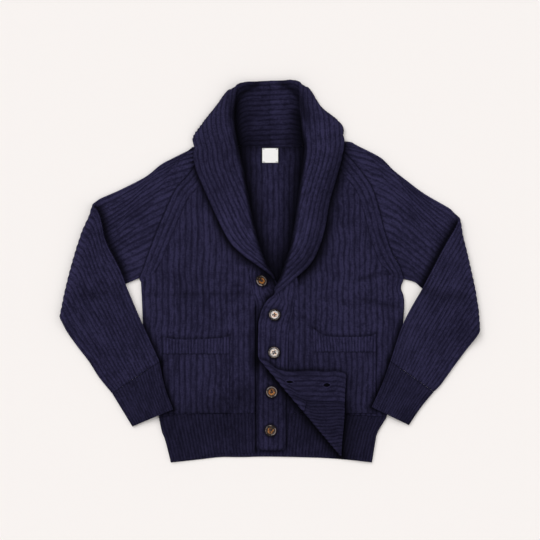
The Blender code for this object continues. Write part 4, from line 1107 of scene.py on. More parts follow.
@dataclass
class Body:
    """Back, fronts and hem ribs."""

    wardrobe: Wardrobe
    back_pitch: float = 11.3
    right_pitch: float = 12.0
    left_pitch: float = 11.4
    hem_pitch: float = 7.4
    swell: float = 0.9
    back_step: float = 9.0          # length of a mesh row on the back
    turned_step: float = 2.6        # the same where the corner is turned back
    left_rows: tuple[int, int, int] = (-298, -150, 266)   # y of the left front's foot, close rows' end, top

    def __post_init__(self) -> None:
        """Smooths the shared edge lines."""
        self.raglan = {Side.RIGHT: smooth(RAGLAN_R), Side.LEFT: smooth(RAGLAN_L)}
        self.side = {Side.RIGHT: smooth(SIDE_R), Side.LEFT: smooth(SIDE_L)}
        self.hem_top = smooth(HEM_TOP)
        self.corner = Fold(CORNER_FOLD, (200, 0), FRONT_BEND, CLOTH,
                           with_creases(over_button_band, LEFT_CREASES, 11, self.swell), corner_rest,
                           (BODY_TONE, CORNER_TONE), corner_sway)

    def panel(self, shell: Shell, name: str, node: str, flat: Point, lower: Array, upper: Array,
              rests_on: Sequence[str], held: Held = Held.LAID, more: float = 0.0) -> None:
        """Finishes a panel whose cut lies between two lines; more is the area of its fashioned ribs."""
        area = polygon_area(np.concatenate([lower, upper[::-1]])) + more
        self.wardrobe.cloth(shell, name, node, flat, area, rests_on, held)

    def hem_line(self, side: Side, drop: float = 0.0) -> Array:
        """The seam between a front and its hem rib, in the order of x, moved down by drop."""
        x = self.hem_top[:, 0]
        if side is Side.RIGHT:
            line = np.concatenate([self.hem_top[x < SEAM_X - 4], [(SEAM_X - SEAM_GAP, HEM_Y)]])
        else:
            line = np.concatenate([[(OVER_SEAM_X + OVER_SEAM_GAP, HEM_Y)], self.hem_top[x > OVER_SEAM_X + 4]])
        return line - (0, drop)

    def hem(self, name: str, node: str, flat: Point, foot: Sequence, top: Array, lay: Flat | Fold,
            rests_on: Sequence[str], held: Held = Held.LAID, **mesh: object) -> None:
        """Builds a hem rib from its foot to its seam; mesh is what add_ribbon takes besides."""
        shell = Shell()
        foot = smooth(foot)
        add_ribbon(shell, foot, top, round(length(top) / self.hem_pitch), lay, per_rib=6, **mesh)
        self.panel(shell, name, node, flat, foot, top, rests_on, held)

    def fashioned(self, side: Side, lay: Flat | Fold, shell: Shell) -> Array:
        """Adds the three ribs that run beside a raglan seam and gives the line where the others end."""
        seam = self.raglan[side]
        inner = beside(seam, -side.sign * FASHIONING)
        end = seam[-1] + np.array([-side.sign * FASHIONING * 0.98, FASHIONING * 0.33])
        near = ease((np.linspace(0, 1, len(seam)) - 0.75) / 0.25)[:, None]
        inner = inner * (1 - near) + near * (end + (inner - inner[-1]) * 0.6)
        even = np.linspace(0, 1, 120)
        add_ribbon(shell, at(seam, even), at(inner, even), 3, lay, along_first=True)
        return inner

    def back(self) -> None:
        """The back, in one panel from the neck to the hem."""
        shell = Shell()
        upper = rising(self.raglan[Side.RIGHT], [(-60, 257), (70, 257)], self.raglan[Side.LEFT])
        lower = rising(self.side[Side.RIGHT], self.hem_top, self.side[Side.LEFT])
        add_panel(shell, lower, upper, self.back_pitch, 0.0, Flat(level(0)), (False, True),
                  per_rib=6, step=self.back_step)
        self.panel(shell, "back_panel", "back", (545, 562), lower, upper, ["floor"])

    def right_front(self) -> None:
        """The right front, which lies under the band of the left one."""
        shell = Shell()
        lay = Flat(with_creases(level(1), RIGHT_CREASES, 5, self.swell))
        inner = self.fashioned(Side.RIGHT, lay, shell)
        neck = smooth(guide(COLLAR_RIGHT, "seam", "xy")[16:5:-1] - (0.5, 0))
        join = inner[inner[:, 0] < neck[:, 0].min() - 1]
        upper = rising([self.raglan[Side.RIGHT][-1]], join, neck, [(SEAM_X - SEAM_GAP, -68)])
        lower = rising(self.side[Side.RIGHT], self.hem_line(Side.RIGHT))
        add_panel(shell, lower, upper, self.right_pitch, SEAM_X - 6, lay, (False, True))
        self.panel(shell, "right_front", "front_right", (240, 562), lower, upper, ["back"],
                   more=length(inner) * FASHIONING)

    def left_front(self) -> None:
        """The left front, its lower corner turned back, wrong side up."""
        shell = Shell()
        inner = self.fashioned(Side.LEFT, self.corner, shell)
        neck = smooth(guide(COLLAR_LEFT, "seam", "xy")[6:19] + (0.5, 0))[::-1]
        join = inner[inner[:, 0] > neck[:, 0].max() + 1]
        upper = rising([(OVER_SEAM_X + OVER_SEAM_GAP, -138)], neck, join, [self.raglan[Side.LEFT][-1]])
        lower = rising(self.hem_line(Side.LEFT), self.side[Side.LEFT])
        foot, turned_to, top = self.left_rows
        close, others = np.arange(foot, turned_to, self.turned_step), np.arange(turned_to, top, ROW_STEP)
        rows = np.concatenate([close, others])
        add_panel(shell, lower, upper, self.left_pitch, OVER_SEAM_X + 6, self.corner, (True, True), rows)
        self.panel(shell, "left_front", "front_left", (246, 562), lower, upper, ["back"], Held.FOLDED,
                   length(inner) * FASHIONING)

    def build(self) -> Fold:
        """Builds all six panels and gives the fold of the turned corner."""
        self.back()
        self.hem("back_hem", "hem_back", (466, 97), HEM_BACK, beside(self.hem_top[::-1], 0.04)[::-1],
                 Flat(level(0), HEM_TONE), ["floor"], step=self.back_step, sides=(HEM_SIDE_R, HEM_SIDE_L))
        self.right_front()
        self.hem("right_front_hem", "hem_front_right", (198, 94), HEM_RIGHT, self.hem_line(Side.RIGHT, 0.4),
                 Flat(level(1), HEM_TONE), ["hem_back"], step=7.0, sides=(HEM_SIDE_R, None))
        self.left_front()
        self.hem("left_front_hem", "hem_front_left", (209, 95), HEM_LEFT, self.hem_line(Side.LEFT, 0.8),
                 self.corner, ["hem_back", "front_left"], Held.FOLDED, step=self.turned_step,
                 sides=(None, HEM_SIDE_L), tone=HEM_SHARE)
        return self.corner


def guide(table: Sequence[Sequence[float]], name: str, parts: str = "xyz") -> Array:
    """A guide line of a collar's table, with a row for each section and a column for each part."""
    return np.array([[row[SECTION.index(name + "_" + part)] for part in parts] for row in table], float)


class CollarForm:
    """The collar strip's middle surface, from a table of sections."""

    FINE = 128                      # points across a section
    TIGHT = (2.0, 6.0)              # sections between which it is squeezed round the neck
    TURN = (13.0, 16.0)             # sections over which the strip shows its other face
    CURVE = 8.5                     # how far from the roll the stand and the fall are guided
    SHOULDER = 7                    # section on the shoulder, up to which the ribs follow the roll
    ROLL = 40                       # place of the roll among the points across a section

    def __init__(self, table: Sequence[Sequence[float]], face: int) -> None:
        """Sets up the guide points: edge, outer, middle, fall, roll, stand, rise and seam.

        Args:
            table: the sections' sizes, in the order of SECTION.
            face: 1 or -1, to which side of the surface the convex face is.
        """
        seam, roll, outer, edge = (guide(table, name) for name in ("seam", "roll", "outer", "edge"))

        def towards(a: Array, b: Array) -> Array:
            step = (b - a)[:, :2]
            size = np.linalg.norm(step, axis=1, keepdims=True)
            return a[:, :2] + step / size * np.minimum(self.CURVE, size * 0.45)

        stand = np.column_stack([towards(roll, seam), guide(table, "stand", "z")])
        fall = np.column_stack([towards(roll, outer), guide(table, "fall", "z")])
        rise = np.column_stack([seam[:, :2] * 0.7 + stand[:, :2] * 0.3, guide(table, "rise", "z")])
        mid = np.column_stack([(fall[:, :2] + outer[:, :2]) / 2, guide(table, "mid", "z")])
        self.nets = np.stack([edge, outer, mid, fall, roll, stand, rise, seam])
        self.face = face
        self.last = len(table) - 1
        self.roll_reach = length(smooth(self.nets[:5, self.SHOULDER], 10))

    def rows(self, s: Array) -> tuple[Array, Array, Array, Array]:
        """The middle surface along many sections.

        The guide points run from section to section as Catmull-Rom cubics, and so does each
        section from its free edge to its seam.

        Args:
            s: places along the strip, in sections.
        Returns:
            Points (sections by FINE by 3), unit normals, widths, and the ribs' offsets.
        """
        i = np.clip(np.floor(s).astype(int), 0, self.last - 1)
        net = cubic(np.swapaxes(self.nets, 0, 1), i, (s - i)[:, None, None])
        fine = np.swapaxes(smooth(np.swapaxes(net, 0, 1), 10), 0, 1)
        run = self.reach(fine)
        target = np.linspace(0, 1, self.FINE)[None] * run[:, -1:]
        points = row_interp(target, run, fine)
        normal = unit(np.cross(np.gradient(points, axis=1), np.gradient(points, axis=0)) * self.face)
        shift = np.where(s < self.SHOULDER, run[:, self.ROLL] - self.roll_reach, 0.0)
        return points, normal, run[:, -1], shift

    @staticmethod
    def reach(lines: Array) -> Array:
        """Distance along each of many lines from its first point."""
        step = np.linalg.norm(np.diff(lines, axis=1), axis=2)
        return np.concatenate([np.zeros((len(lines), 1)), np.cumsum(step, axis=1)], axis=1)


def row_interp(at_x: Array, x: Array, values: Array) -> Array:
    """Linear interpolation of each row of values (rows by points by 3) at that row's own places."""
    apart = (x[:, -1].max() + 10) * np.arange(len(x))[:, None]
    flat_x = (x + apart).ravel()
    want = (np.clip(at_x, x[:, :1], x[:, -1:]) + apart).ravel()
    found = [np.interp(want, flat_x, values[..., k].ravel()) for k in range(values.shape[2])]
    return np.stack(found, axis=-1).reshape(*at_x.shape, values.shape[2])


@dataclass
class Collar:
    """One half of the shawl collar, with the front band that it runs into."""

    wardrobe: Wardrobe
    side: Side
    lay: Flat | Fold
    guides: Sequence[tuple[Point, Point]]   # band rows: free edge, seam
    step: float = 4.6
    band_step: float = 3.4
    per_rib: int = 6
    ribs: int = 6                   # ribs across the band
    EVEN = (12.0, 14.5)             # sections over which the outer ribs run out under the fall
    FLAT = (12.5, 15.5)             # sections over which the collar takes the band's painted shade
    CHEST = (7.0, 11.0)             # sections over which the collar's painted shade lifts and the fall is painted lighter

    def build(self) -> None:
        """Builds the half collar as one strip.

        The surface is M(s, m) + N(s, m) h(m): M the middle surface, s along the strip, m across it
        from the free edge, N its normal and h the rib's height on either face.
        """
        table = COLLAR_RIGHT if self.side is Side.RIGHT else COLLAR_LEFT
        form = CollarForm(table, self.side.sign)
        spans = np.linalg.norm(np.diff(form.nets[[0, 4, 7]], axis=1), axis=2).mean(axis=0)
        s = np.concatenate([np.linspace(k, k + 1, max(3, round(d / self.step)), endpoint=False)
                            for k, d in enumerate(spans)] + [[form.last]])
        points, normal, width, shift = form.rows(s)
        band_edge, band_seam, band_width = self.band(form, width[-1])
        low = np.concatenate([-shift, 0 * band_width])
        high = np.concatenate([width - shift, band_width])
        count = width / STRIP_PITCH
        count += (self.ribs - count) * between(s, self.EVEN)
        pitch = np.concatenate([width / count, band_width / self.ribs])
        first = math.floor((low / pitch).min() * self.per_rib)
        last = math.ceil((high / pitch).max() * self.per_rib)
        levels = np.arange(first, last + 1)[None] * pitch[:, None] / self.per_rib
        one = np.ones(len(low))
        marks, shared, distance = cut_levels(levels, low, high, one, one)
        phase = marks / pitch[:, None] - 0.5
        rim = edge_round(distance)
        rim[-1] = np.minimum(rim[-1], edge_round(np.zeros(1)))
        n = len(s)
        upper, under = self.loft(form, s, points, normal, shift, width, marks[:n], rim[:n], phase[:n])
        share = (marks[n:] / band_width[:, None])[..., None]
        xy = band_edge[:, None] + share * (band_seam - band_edge)[:, None]
        top, low_h = wall_heights(phase[n:] + 0.5, rim[n:])
        hidden, shown = self.lay.place(xy, top), self.lay.place(xy, low_h)
        outer = np.concatenate([upper, shown])
        inner = np.concatenate([under, hidden])
        along = np.cumsum(np.linalg.norm(np.diff(outer[:, outer.shape[1] // 3], axis=0), axis=1))
        uv = np.stack([phase, np.broadcast_to(np.append(0, along)[:, None] / STITCH, phase.shape)], axis=-1)
        name = self.side.value
        # painted light and shade across the collar, then the band's painted shade
        share = (marks[:n] + shift[:, None]) / (shift + form.roll_reach)[:, None]
        tone = np.concatenate([self.tone(s, share), self.lay.tone(xy) / BODY_TONE * BAND_SHARES[name]])
        shell = Shell()
        shell.close(shell.grid(outer, uv, shared, tone), shell.grid(inner, behind(uv), shared, tone))
        area = grid_area((outer + inner)[:, ::self.per_rib] / 2)
        wide = float((high - low).max())
        run = max(length((outer[:, 0] + outer[:, -1]) / 2), area / wide * 1.01)
        self.wardrobe.cloth(shell, name + "_collar", "collar_band_" + name, (wide, run), area,
                            ["front_" + name, "back"], Held.FOLDED)

    def tone(self, s: Array, share: Array) -> Array:
        """Painted light and shade of the shaped part: painted shade under the roll and behind the neck, a
        painted highlight on the fall, even on the chest.

        Args:
            s: places along the strip, in sections.
            share: places across it, 0 at the free edge and 1 on the roll.
        """
        chest, flat = between(s, self.CHEST)[:, None], between(s, self.FLAT)[:, None]
        fall = 0.70 + 0.20 * chest if self.side is Side.RIGHT else 0.64 + 0.26 * ease((share - 0.1) / 0.35)
        fall = fall * (1 - 0.25 * ease((share - 1) / 0.2) * (1 - chest))
        return fall * (1 - flat) + BAND_SHARES[self.side.value] * flat

    def loft(self, form: CollarForm, s: Array, points: Array, normal: Array, shift: Array, width: Array,
             marks: Array, rim: Array, phase: Array) -> tuple[Array, Array]:
        """Both faces of the shaped part of the strip.

        Returns:
            Points of the convex face and of the other face.
        """
        reach = marks + shift[:, None]
        even = np.linspace(0, 1, form.FINE)[None] * width[:, None]
        middle, n = row_interp(reach, even, points), unit(row_interp(reach, even, normal))
        into, out_of = (between(s, (at_s, at_s + 1.2)) for at_s in form.TIGHT)
        tight = (into * (1 - out_of))[:, None]
        flip = between(s, form.TURN)[:, None]
        offset = RELIEF / 4 * (1 - 2 * flip)
        to_roll = shift[:, None] + form.roll_reach
        behind_neck = (between(s, (1.4, 2.2)) * (1 - between(s, (6.6, 7.8))))[:, None]
        calm = 1 - 0.8 * behind_neck * ease((to_roll - reach - 8) / 14)
        squeeze = 1 - 0.45 * tight * (reach > width[:, None] * 0.5)
        top, low = wall_heights(phase, rim * squeeze)
        top = top * calm + (CLOTH - RELIEF * 0.35) * (1 - calm) * rim
        shown, hidden = top - CLOTH / 2 + offset, CLOTH / 2 - low - offset
        return middle + n * shown[..., None], middle - n * hidden[..., None]

    def band(self, form: CollarForm, width: float) -> tuple[Array, Array, Array]:
        """Rows of the band's flat cut: their ends at the free edge and at the seam, and their widths."""
        edge = np.concatenate([form.nets[0, -1:, :2], [g[0] for g in self.guides]])
        seam = np.concatenate([form.nets[7, -1:, :2], [g[1] for g in self.guides]])
        both = np.concatenate([edge, seam], axis=1)
        rows = round(length(both) / math.sqrt(2) / self.band_step)
        both = at(both, np.linspace(0, 1, rows))[1:]
        target = self.ribs * STRIP_PITCH
        settle = ease(np.linspace(0, 1, rows)[1:] * 4)
        return both[:, :2], both[:, 2:], width + (target - width) * settle


@dataclass
class Sleeve:
    """A sleeve with its cuff, flattened and folded back at the elbow."""

    wardrobe: Wardrobe
    side: Side
    per_rib: int = 6
    step: float = 4.6
    bend_rows: int = 8
    inner_rows: int = 6             # outer rows to one row of the inside
    swell: float = 1.6
    relief: float = 1.1

    def __post_init__(self) -> None:
        """Sets the fold and the edges of the cut."""
        cut, sign = SLEEVES[self.side.value], self.side.sign
        arm = (cut["under"][1], cut["under"][-1])
        pocket_x = POCKETS[self.side.value]["x"][0 if sign < 0 else 1]
        pocket = ((pocket_x, -169), (pocket_x, -290))
        over_arm = height_over(arm, (sign * 100, -500), 6, 50, SLEEVE_STACK + GAP)
        over_body = height_over(cut["body"], (sign * 600, -300), 8, 36, 2 * LEVEL + GAP)
        over_pocket = height_over(pocket, (sign * 600, -200), 6, 30, 3 * LEVEL + 1.2)

        def rest(xy: Array, start: Array, run: Array) -> Array:
            pile = (over_arm(xy) ** 4 + over_body(xy) ** 4 + over_pocket(xy) ** 4) ** 0.25
            return pile + (start - SLEEVE_STACK - GAP) * (1 - ease(run / SETTLE))

        self.fold = Fold(cut["fold"], (0, 0), SLEEVE_BEND, SLEEVE_STACK, level(0), rest, SLEEVE_TONES,
                         bulge=cut["bulge"])
        self.bend = math.pi * self.fold.middle
        self.seed = 41 if sign < 0 else 43
        self.top = np.concatenate([smooth(cut["top"]), smooth(cut["lower_top"])[1:]])
        self.under = np.concatenate([smooth(cut["under"]), smooth(cut["lower_under"])[1:]])

    def trimmed(self, line: Array, low: float, high: float) -> Array:
        """The part of an edge between two distances past the fold."""
        past = self.fold.past(line)
        ends = [np.stack([np.interp(d, past, c) for c in line.T]) for d in (low, high)]
        keep = line[(past > low + 1) & (past < high - 1)]
        start = line[:1] if low < past[0] else ends[0][None]
        stop = line[-1:] if high > past[-1] else ends[1][None]
        return np.concatenate([start, keep[1:] if low < past[0] else keep, stop])

    def coons(self, start: Array, end: Array, left: Array, right: Array, f: Array, v: Array) -> Array:
        """A patch between four edge lines, f from left to right and v from start to end.

        Straight lines join the start to the end; what the left and the right edge stray from
        theirs is added, and fades as the square of the distance from that edge.
        """
        s, e = at(start, f)[None], at(end, f)[None]
        a, b = at(left, v)[:, None], at(right, v)[:, None]
        v, f = v[:, None, None], f[None, :, None]
        stray_a = a - ((1 - v) * left[0] + v * left[-1])
        stray_b = b - ((1 - v) * right[0] + v * right[-1])
        return s * (1 - v) + e * v + (1 - f) ** 2 * stray_a + f**2 * stray_b

    def shares(self) -> Array:
        """Columns across one side of the tube, closer at its edges."""
        count = SLEEVE_RIBS * self.per_rib
        edge = np.array([0, 0.1, 0.35])
        return np.concatenate([edge, np.arange(1, count), count - edge[::-1]]) / count

    def tube(self, plan: Array, f: Array, stack: Array, open_ends: Point, tone: float = 1.0) -> Shell:
        """A flattened knitted tube, open at both ends.

        Across a side, d from its edge, the outside lies stack/2 (1 + sqrt(1 - (1 - 2 d/stack)^2))
        high, a half round edge, less the grooves between the ribs; the underside mirrors it.

        Args:
            plan: the cut, rows by columns by 2.
            f: share across of each column.
            stack: thickness of each row.
            open_ends: how far the first and the last row are pinched.
            tone: how light it is painted beside the sleeve: a painted shade.
        """
        run = CollarForm.reach(plan)
        width = run[:, -1:]
        d = np.minimum(run, width - run)
        half = stack[:, None] / 2
        bulge = np.sqrt(1 - (1 - np.clip(d / half, 0, 1)) ** 2)
        middle = (plan[:, 0] + plan[:, -1]) / 2
        down = np.append(0, np.cumsum(np.linalg.norm(np.diff(middle, axis=0), axis=1)))
        pinch = open_ends[0] * (1 - edge_round(down, 0)) + open_ends[1] * (1 - edge_round(down[-1] - down, 0))
        depth = self.relief * (1 - rib_height(f * SLEEVE_RIBS))[None] + pinch[:, None]
        past = self.fold.past(plan)
        turned = ease(past / self.bend)
        swell = self.swell * ease(d / 30) * (0.5 + 0.5 * ripple(plan[..., 0], plan[..., 1], self.seed, 130))
        swell = swell * ease(np.abs(past - self.bend / 2) / 60 - 0.1)
        inset = (CLOTH - 0.6) / width
        back = plan[:, -2:0:-1]
        outer_plan = np.concatenate([plan, back], axis=1)
        outer, inner = (
            np.concatenate([half + h + swell * (1 - turned), (half - h - swell * turned)[:, -2:0:-1]], axis=1)
            for h in ((half - depth) * bulge, (half - CLOTH) * bulge))
        centre = (plan[:, :1] + plan[:, -1:]) / 2
        inner_plan = outer_plan + (centre - outer_plan) * 2 * inset[..., None]
        ribs = np.concatenate([f, f[-2:0:-1]]) * SLEEVE_RIBS
        uv = np.stack(np.broadcast_arrays(ribs[None], down[:, None] / STITCH), axis=-1)
        rows = len(plan)
        near_bend = np.abs(self.fold.past(middle) - self.bend / 2) < self.bend
        keep = (np.arange(rows) % self.inner_rows == 0) | near_bend | (np.arange(rows) == rows - 1)
        shell = Shell()
        light = self.fold.tone(outer_plan) * tone
        out = shell.grid(self.fold.place(outer_plan, outer), uv, None, light)
        # the inside of the tube is painted darker, as painted shade
        inn = shell.grid(self.fold.place(inner_plan, inner)[keep], uv[keep], None, light[keep] * 0.4)
        shell.ring(out)
        shell.ring(inn, upper=False)
        for a, b in ((out[0], inn[0]), (inn[-1], out[-1])):
            shell.band(np.append(a, a[0]), np.append(b, b[0]))
        return shell

    def build(self) -> None:
        """Builds the sleeve and its cuff."""
        cut, sign = SLEEVES[self.side.value], self.side.sign
        top_a, under_a = (self.trimmed(line, -math.inf, 0) for line in (self.top, self.under))
        top_b, under_b = (self.trimmed(line, self.bend, math.inf) for line in (self.top, self.under))
        f = self.shares()
        start = beside(smooth(RAGLAN_R if sign < 0 else RAGLAN_L), sign * GAP)
        start[0], start[-1] = top_a[0], under_a[0]
        ends = np.array([top_a[-1], under_a[-1]]), np.array([top_b[0], under_b[0]])
        cuff_line = np.array([top_b[-1], under_b[-1]])
        v = self.rows(length(top_a) / 2 + length(under_a) / 2)
        upper = self.coons(start, ends[0], top_a, under_a, f, v)
        t = (np.arange(1, self.bend_rows) / self.bend_rows)[:, None, None]
        bend = at(ends[0], f)[None] * (1 - t) + at(ends[1], f)[None] * t
        lower_v = self.rows(length(top_b) / 2 + length(under_b) / 2) * (1 - 0.0012)
        lower = self.coons(ends[1], cuff_line, top_b, under_b, f, lower_v)
        plan = np.concatenate([upper, bend, lower])
        stack = np.full(len(plan), SLEEVE_STACK)
        stack[:len(v)] = SEAM_STACK + (SLEEVE_STACK - SEAM_STACK) * ease(v / 0.3)
        name = self.side.value
        self.declare(self.tube(plan, f, stack, (1.2, 0.8)), name, "sleeve", plan, ["floor", "back"])
        cuff_top, cuff_under = smooth(cut["cuff_top"]), smooth(cut["cuff_under"])
        cuff_v = 0.002 + 0.998 * self.rows(length(cuff_top))
        foot = np.array([cuff_top[-1], cuff_under[-1]])
        plan = self.coons(cuff_line, foot, cuff_top, cuff_under, f, cuff_v)
        cuff = self.tube(plan, f, np.full(len(plan), SLEEVE_STACK), (0.8, 1.0), CUFF_TONE / BODY_TONE)
        self.declare(cuff, name, "cuff", plan, ["front_" + name, "pocket_" + name])

    def rows(self, run: float) -> Array:
        """Shares along a part of the sleeve, closer at both ends."""
        edge = np.array(EDGE_STEPS[:-1]) / run
        inner = np.linspace(0, 1, max(4, round(run / self.step)) + 1)[1:-1]
        return np.concatenate([edge, inner, 1 - edge[::-1]])

    def declare(self, shell: Shell, side: str, kind: str, plan: Array, rests_on: Sequence[str]) -> None:
        """Finishes a tube and works out the size of its cut all round: twice its flattened width."""
        area = 2 * grid_area(plan)
        middle, ends = (plan[:, 0] + plan[:, -1]) / 2, plan[:, -1] - plan[:, 0]
        axis = unit(np.gradient(middle, axis=0))
        wide = 2 * float(np.abs(ends[:, 0] * axis[:, 1] - ends[:, 1] * axis[:, 0]).max())
        run = max(length(middle), area / wide * 1.01)
        self.wardrobe.cloth(shell, side + "_" + kind, kind + "_" + side, (wide, run), area, rests_on,
                            Held.FOLDED)


@dataclass
class Pocket:
    """A patch pocket with a ribbed welt."""

    wardrobe: Wardrobe
    side: Side
    bulge: float = 1.6
    welt_ribs: int = 21

    def build(self) -> None:
        """Builds the bag and the welt."""
        cut = POCKETS[self.side.value]
        (x0, x1), welt, foot = cut["x"], cut["welt"], cut["foot"]

        def pouch(xy: Array) -> Array:
            u = 1 - ((xy[..., 0] - (x0 + x1) / 2) / (x1 - x0) * 2) ** 2
            w = 1 - ((xy[..., 1] - (welt + foot) / 2) / (welt - foot) * 2) ** 2
            soft = 0.55 + 0.45 * (0.5 + 0.5 * ripple(xy[..., 0], xy[..., 1], 31, 70))
            return 2 * LEVEL + self.bulge * np.clip(u, 0, 1) * np.clip(w, 0, 1) * soft

        def across_at(y: float) -> Array:
            return np.array([(x0, y), (x1, y)], float)

        name, wide = self.side.value, x1 - x0
        bag = Shell()
        add_panel(bag, across_at(foot), across_at(welt - 0.2), cut["pitch"], x0 + 4, Flat(pouch, POCKET_TONE),
                  (True, True))
        self.wardrobe.cloth(bag, name + "_pocket", "pocket_" + name, (wide, welt - foot),
                            wide * (welt - foot), ["front_" + name])
        band, rim, seam = Shell(), smooth(cut["rim"]), across_at(welt + 0.2)
        add_ribbon(band, seam, rim, self.welt_ribs, Flat(level(2), WELT_TONE), per_rib=6)
        self.wardrobe.cloth(band, name + "_pocket_welt", "pocket_welt_" + name,
                            (wide, float(rim[:, 1].max() - welt)),
                            polygon_area(np.concatenate([seam, rim[::-1]])), ["front_" + name])


def cap(shell: Shell, index: Array) -> None:
    """Closes both ends of a round grid, each with one face."""
    shell.faces.setdefault(index.shape[1], []).extend([index[:1, ::-1], index[-1:]])


def add_cord(shell: Shell, path: Array, radius: float, sides: int = 6, closed: bool = False) -> None:
    """Adds a round cord along a path: a circle set square to it.

    Args:
        shell: where it goes.
        path: its middle line.
        radius: its radius, half of it at a free end.
        sides: corners of its circle.
        closed: whether it runs into itself.
    """
    ahead = np.roll(path, -1, axis=0) - np.roll(path, 1, axis=0) if closed else np.gradient(path, axis=0)
    ahead = unit(ahead)
    side = unit(np.cross(ahead, (0.12, 0.07, 1.0)))
    up = np.cross(side, ahead)
    turn = np.arange(sides)[None, :, None] * 2 * math.pi / sides
    taper = np.full((len(path), 1, 1), radius)
    if not closed:
        taper[[0, -1]] *= 0.5
    ring = side[:, None] * np.cos(turn) + up[:, None] * np.sin(turn)
    index = shell.grid(path[:, None] + ring * taper, np.zeros((len(path), sides, 2)))
    if closed:
        shell.ring(np.concatenate([index, index[:1]]))
    else:
        shell.ring(index)
        cap(shell, index)


@dataclass
class Button:
    """A round horn button with a raised rim, a dished middle and four holes."""

    wardrobe: Wardrobe
    number: int
    radius: float = 12.0
    height: float = 4.4
    dish: float = 1.7
    hole: float = 1.15
    hole_ring: float = 3.1
    hole_depth: float = 1.5
    crest: float = 0.86             # its highest ring, as a share of the radius
    edge_drop: float = 1.3
    thread: float = 0.32
    around: int = 72

    def surface(self, r: Array, turn: Array) -> Array:
        """Height of the upper face.

        It is rounded at the edge, is highest near the crest, dips smoothly to the dish inside 0.7 of
        the radius, and drops into four holes.
        """
        share = r / self.radius
        top = self.height - self.dish * ease((self.crest - share) / 0.16)
        top = top - self.edge_drop * (1 - np.sqrt(1 - np.clip((share - 0.85) / 0.15, 0, 1) ** 2))
        x, y = r * np.cos(turn), r * np.sin(turn)
        for k in range(4):
            a = math.pi / 4 + k * math.pi / 2
            away = np.hypot(x - self.hole_ring * math.cos(a), y - self.hole_ring * math.sin(a))
            top = top - self.hole_depth * ease((self.hole + 0.25 - away) / 0.5)
        return top

    def build(self) -> None:
        """Builds the button and the thread through its holes."""
        x, y, z, lean, way, turn = BUTTONS[self.number - 1]
        r_top = np.concatenate([np.linspace(0.02, 6, 26), np.linspace(6, self.radius, 22)[1:]])
        r = np.concatenate([r_top, [self.radius, self.radius - 0.5, self.radius - 1.4, 4, 0.02]])
        angle = np.arange(self.around) * 2 * math.pi / self.around
        rr, aa = np.meshgrid(r, angle, indexing="ij")
        h = self.surface(rr, aa)
        h[len(r_top):] = np.array([1.4, 0.5, 0, 0, 0])[:, None]
        tilt, spin = (math.radians(lean), math.radians(way)), math.radians(turn)
        flat = np.stack([rr * np.cos(aa + spin), rr * np.sin(aa + spin), h], axis=-1)
        uv = np.stack([rr, aa], axis=-1)
        shell = Shell()
        index = shell.grid(self.set_down(flat, (x, y, z), tilt), uv)
        shell.ring(index)
        cap(shell, index)
        piece = shell.make("coat_button_%d" % self.number, self.wardrobe.horn)
        self.wardrobe.join(piece, "horn", "button_%d" % self.number)
        shell = Shell()
        for k in range(2):
            a = math.pi / 4 + k * math.pi / 2 + spin
            t = np.linspace(-1, 1, 9)
            for off in (-0.3, 0.3):
                path = np.stack([self.hole_ring * t * math.cos(a) - off * math.sin(a),
                                 self.hole_ring * t * math.sin(a) + off * math.cos(a),
                                 self.height - self.dish + 0.55 - self.hole_depth * t**6 + 0.3 * k], axis=-1)
                add_cord(shell, self.set_down(path, (x, y, z), tilt), self.thread)
        thread = shell.make("button_thread_%d" % self.number, self.wardrobe.thread)
        self.wardrobe.join(thread, "rib_knit")

    def set_down(self, points: Array, place: tuple[float, float, float], tilt: tuple[float, float]) -> Array:
        """Leans points one way, both angles in radians, and sets them at the button's place."""
        lean, way = tilt
        c, d = math.cos(way), math.sin(way)
        px, py, pz = points[..., 0], points[..., 1], points[..., 2]
        ahead, aside = px * c + py * d, py * c - px * d
        ahead, pz = ahead * math.cos(lean) + pz * math.sin(lean), pz * math.cos(lean) - ahead * math.sin(lean)
        return np.stack([place[0] + ahead * c - aside * d, place[1] + ahead * d + aside * c,
                         place[2] + self.radius * abs(math.sin(lean)) + pz], axis=-1)


@dataclass
class Buttonholes:
    """The two open buttonholes of the turned corner: a slit of painted shade with a rim of close stitches."""

    wardrobe: Wardrobe
    lay: Fold

    def build(self) -> None:
        """Builds the painted shade of both slits in one piece and both stitched rims in another.

        In plan a slit's painted shade is the lens |v| < width (1 - |u|^1.7), with u along it from -1 to 1.
        """
        slit_shades, rims = Shell(), Shell()
        u = np.concatenate([[-0.97], np.linspace(-0.9, 0.9, 15), [0.97]])
        v = np.linspace(-1, 1, 7)
        for x, y, half, wide, turn in BUTTONHOLES:
            c, d = math.cos(math.radians(turn)), math.sin(math.radians(turn))

            def set_in(across: Array, up: Array, h: Array) -> Array:
                plan = np.stack([x + across * c - up * d, y + across * d + up * c], axis=-1)
                return self.lay.place(self.lay.before(plan), h)

            lens = wide * (1 - np.abs(u) ** 1.7)
            across, up = np.broadcast_arrays(u[:, None] * half, lens[:, None] * v)
            uv = np.stack([across, up], axis=-1) / STITCH
            # each slit is knit with tone 0, painted wholly in shade
            slit_shades.close(*(slit_shades.grid(set_in(across, up, np.full(up.shape, h)), uv, None, 0.0)
                          for h in (0.5, -0.25)))
            t = np.linspace(0, 2 * math.pi, 57)[:-1]
            around = (half + 0.9) * np.cos(t)
            over = (wide + 0.7) * np.sin(t) * np.abs(np.sin(t)) ** 0.25
            path = set_in(around, over, -0.35 + 0.2 * np.cos(14 * t))
            add_cord(rims, path, 0.75, closed=True)
        self.wardrobe.join(slit_shades.make("buttonhole_painted_shade", self.wardrobe.knit), "rib_knit")
        self.wardrobe.join(rims.make("buttonhole_stitches", self.wardrobe.knit), "rib_knit")


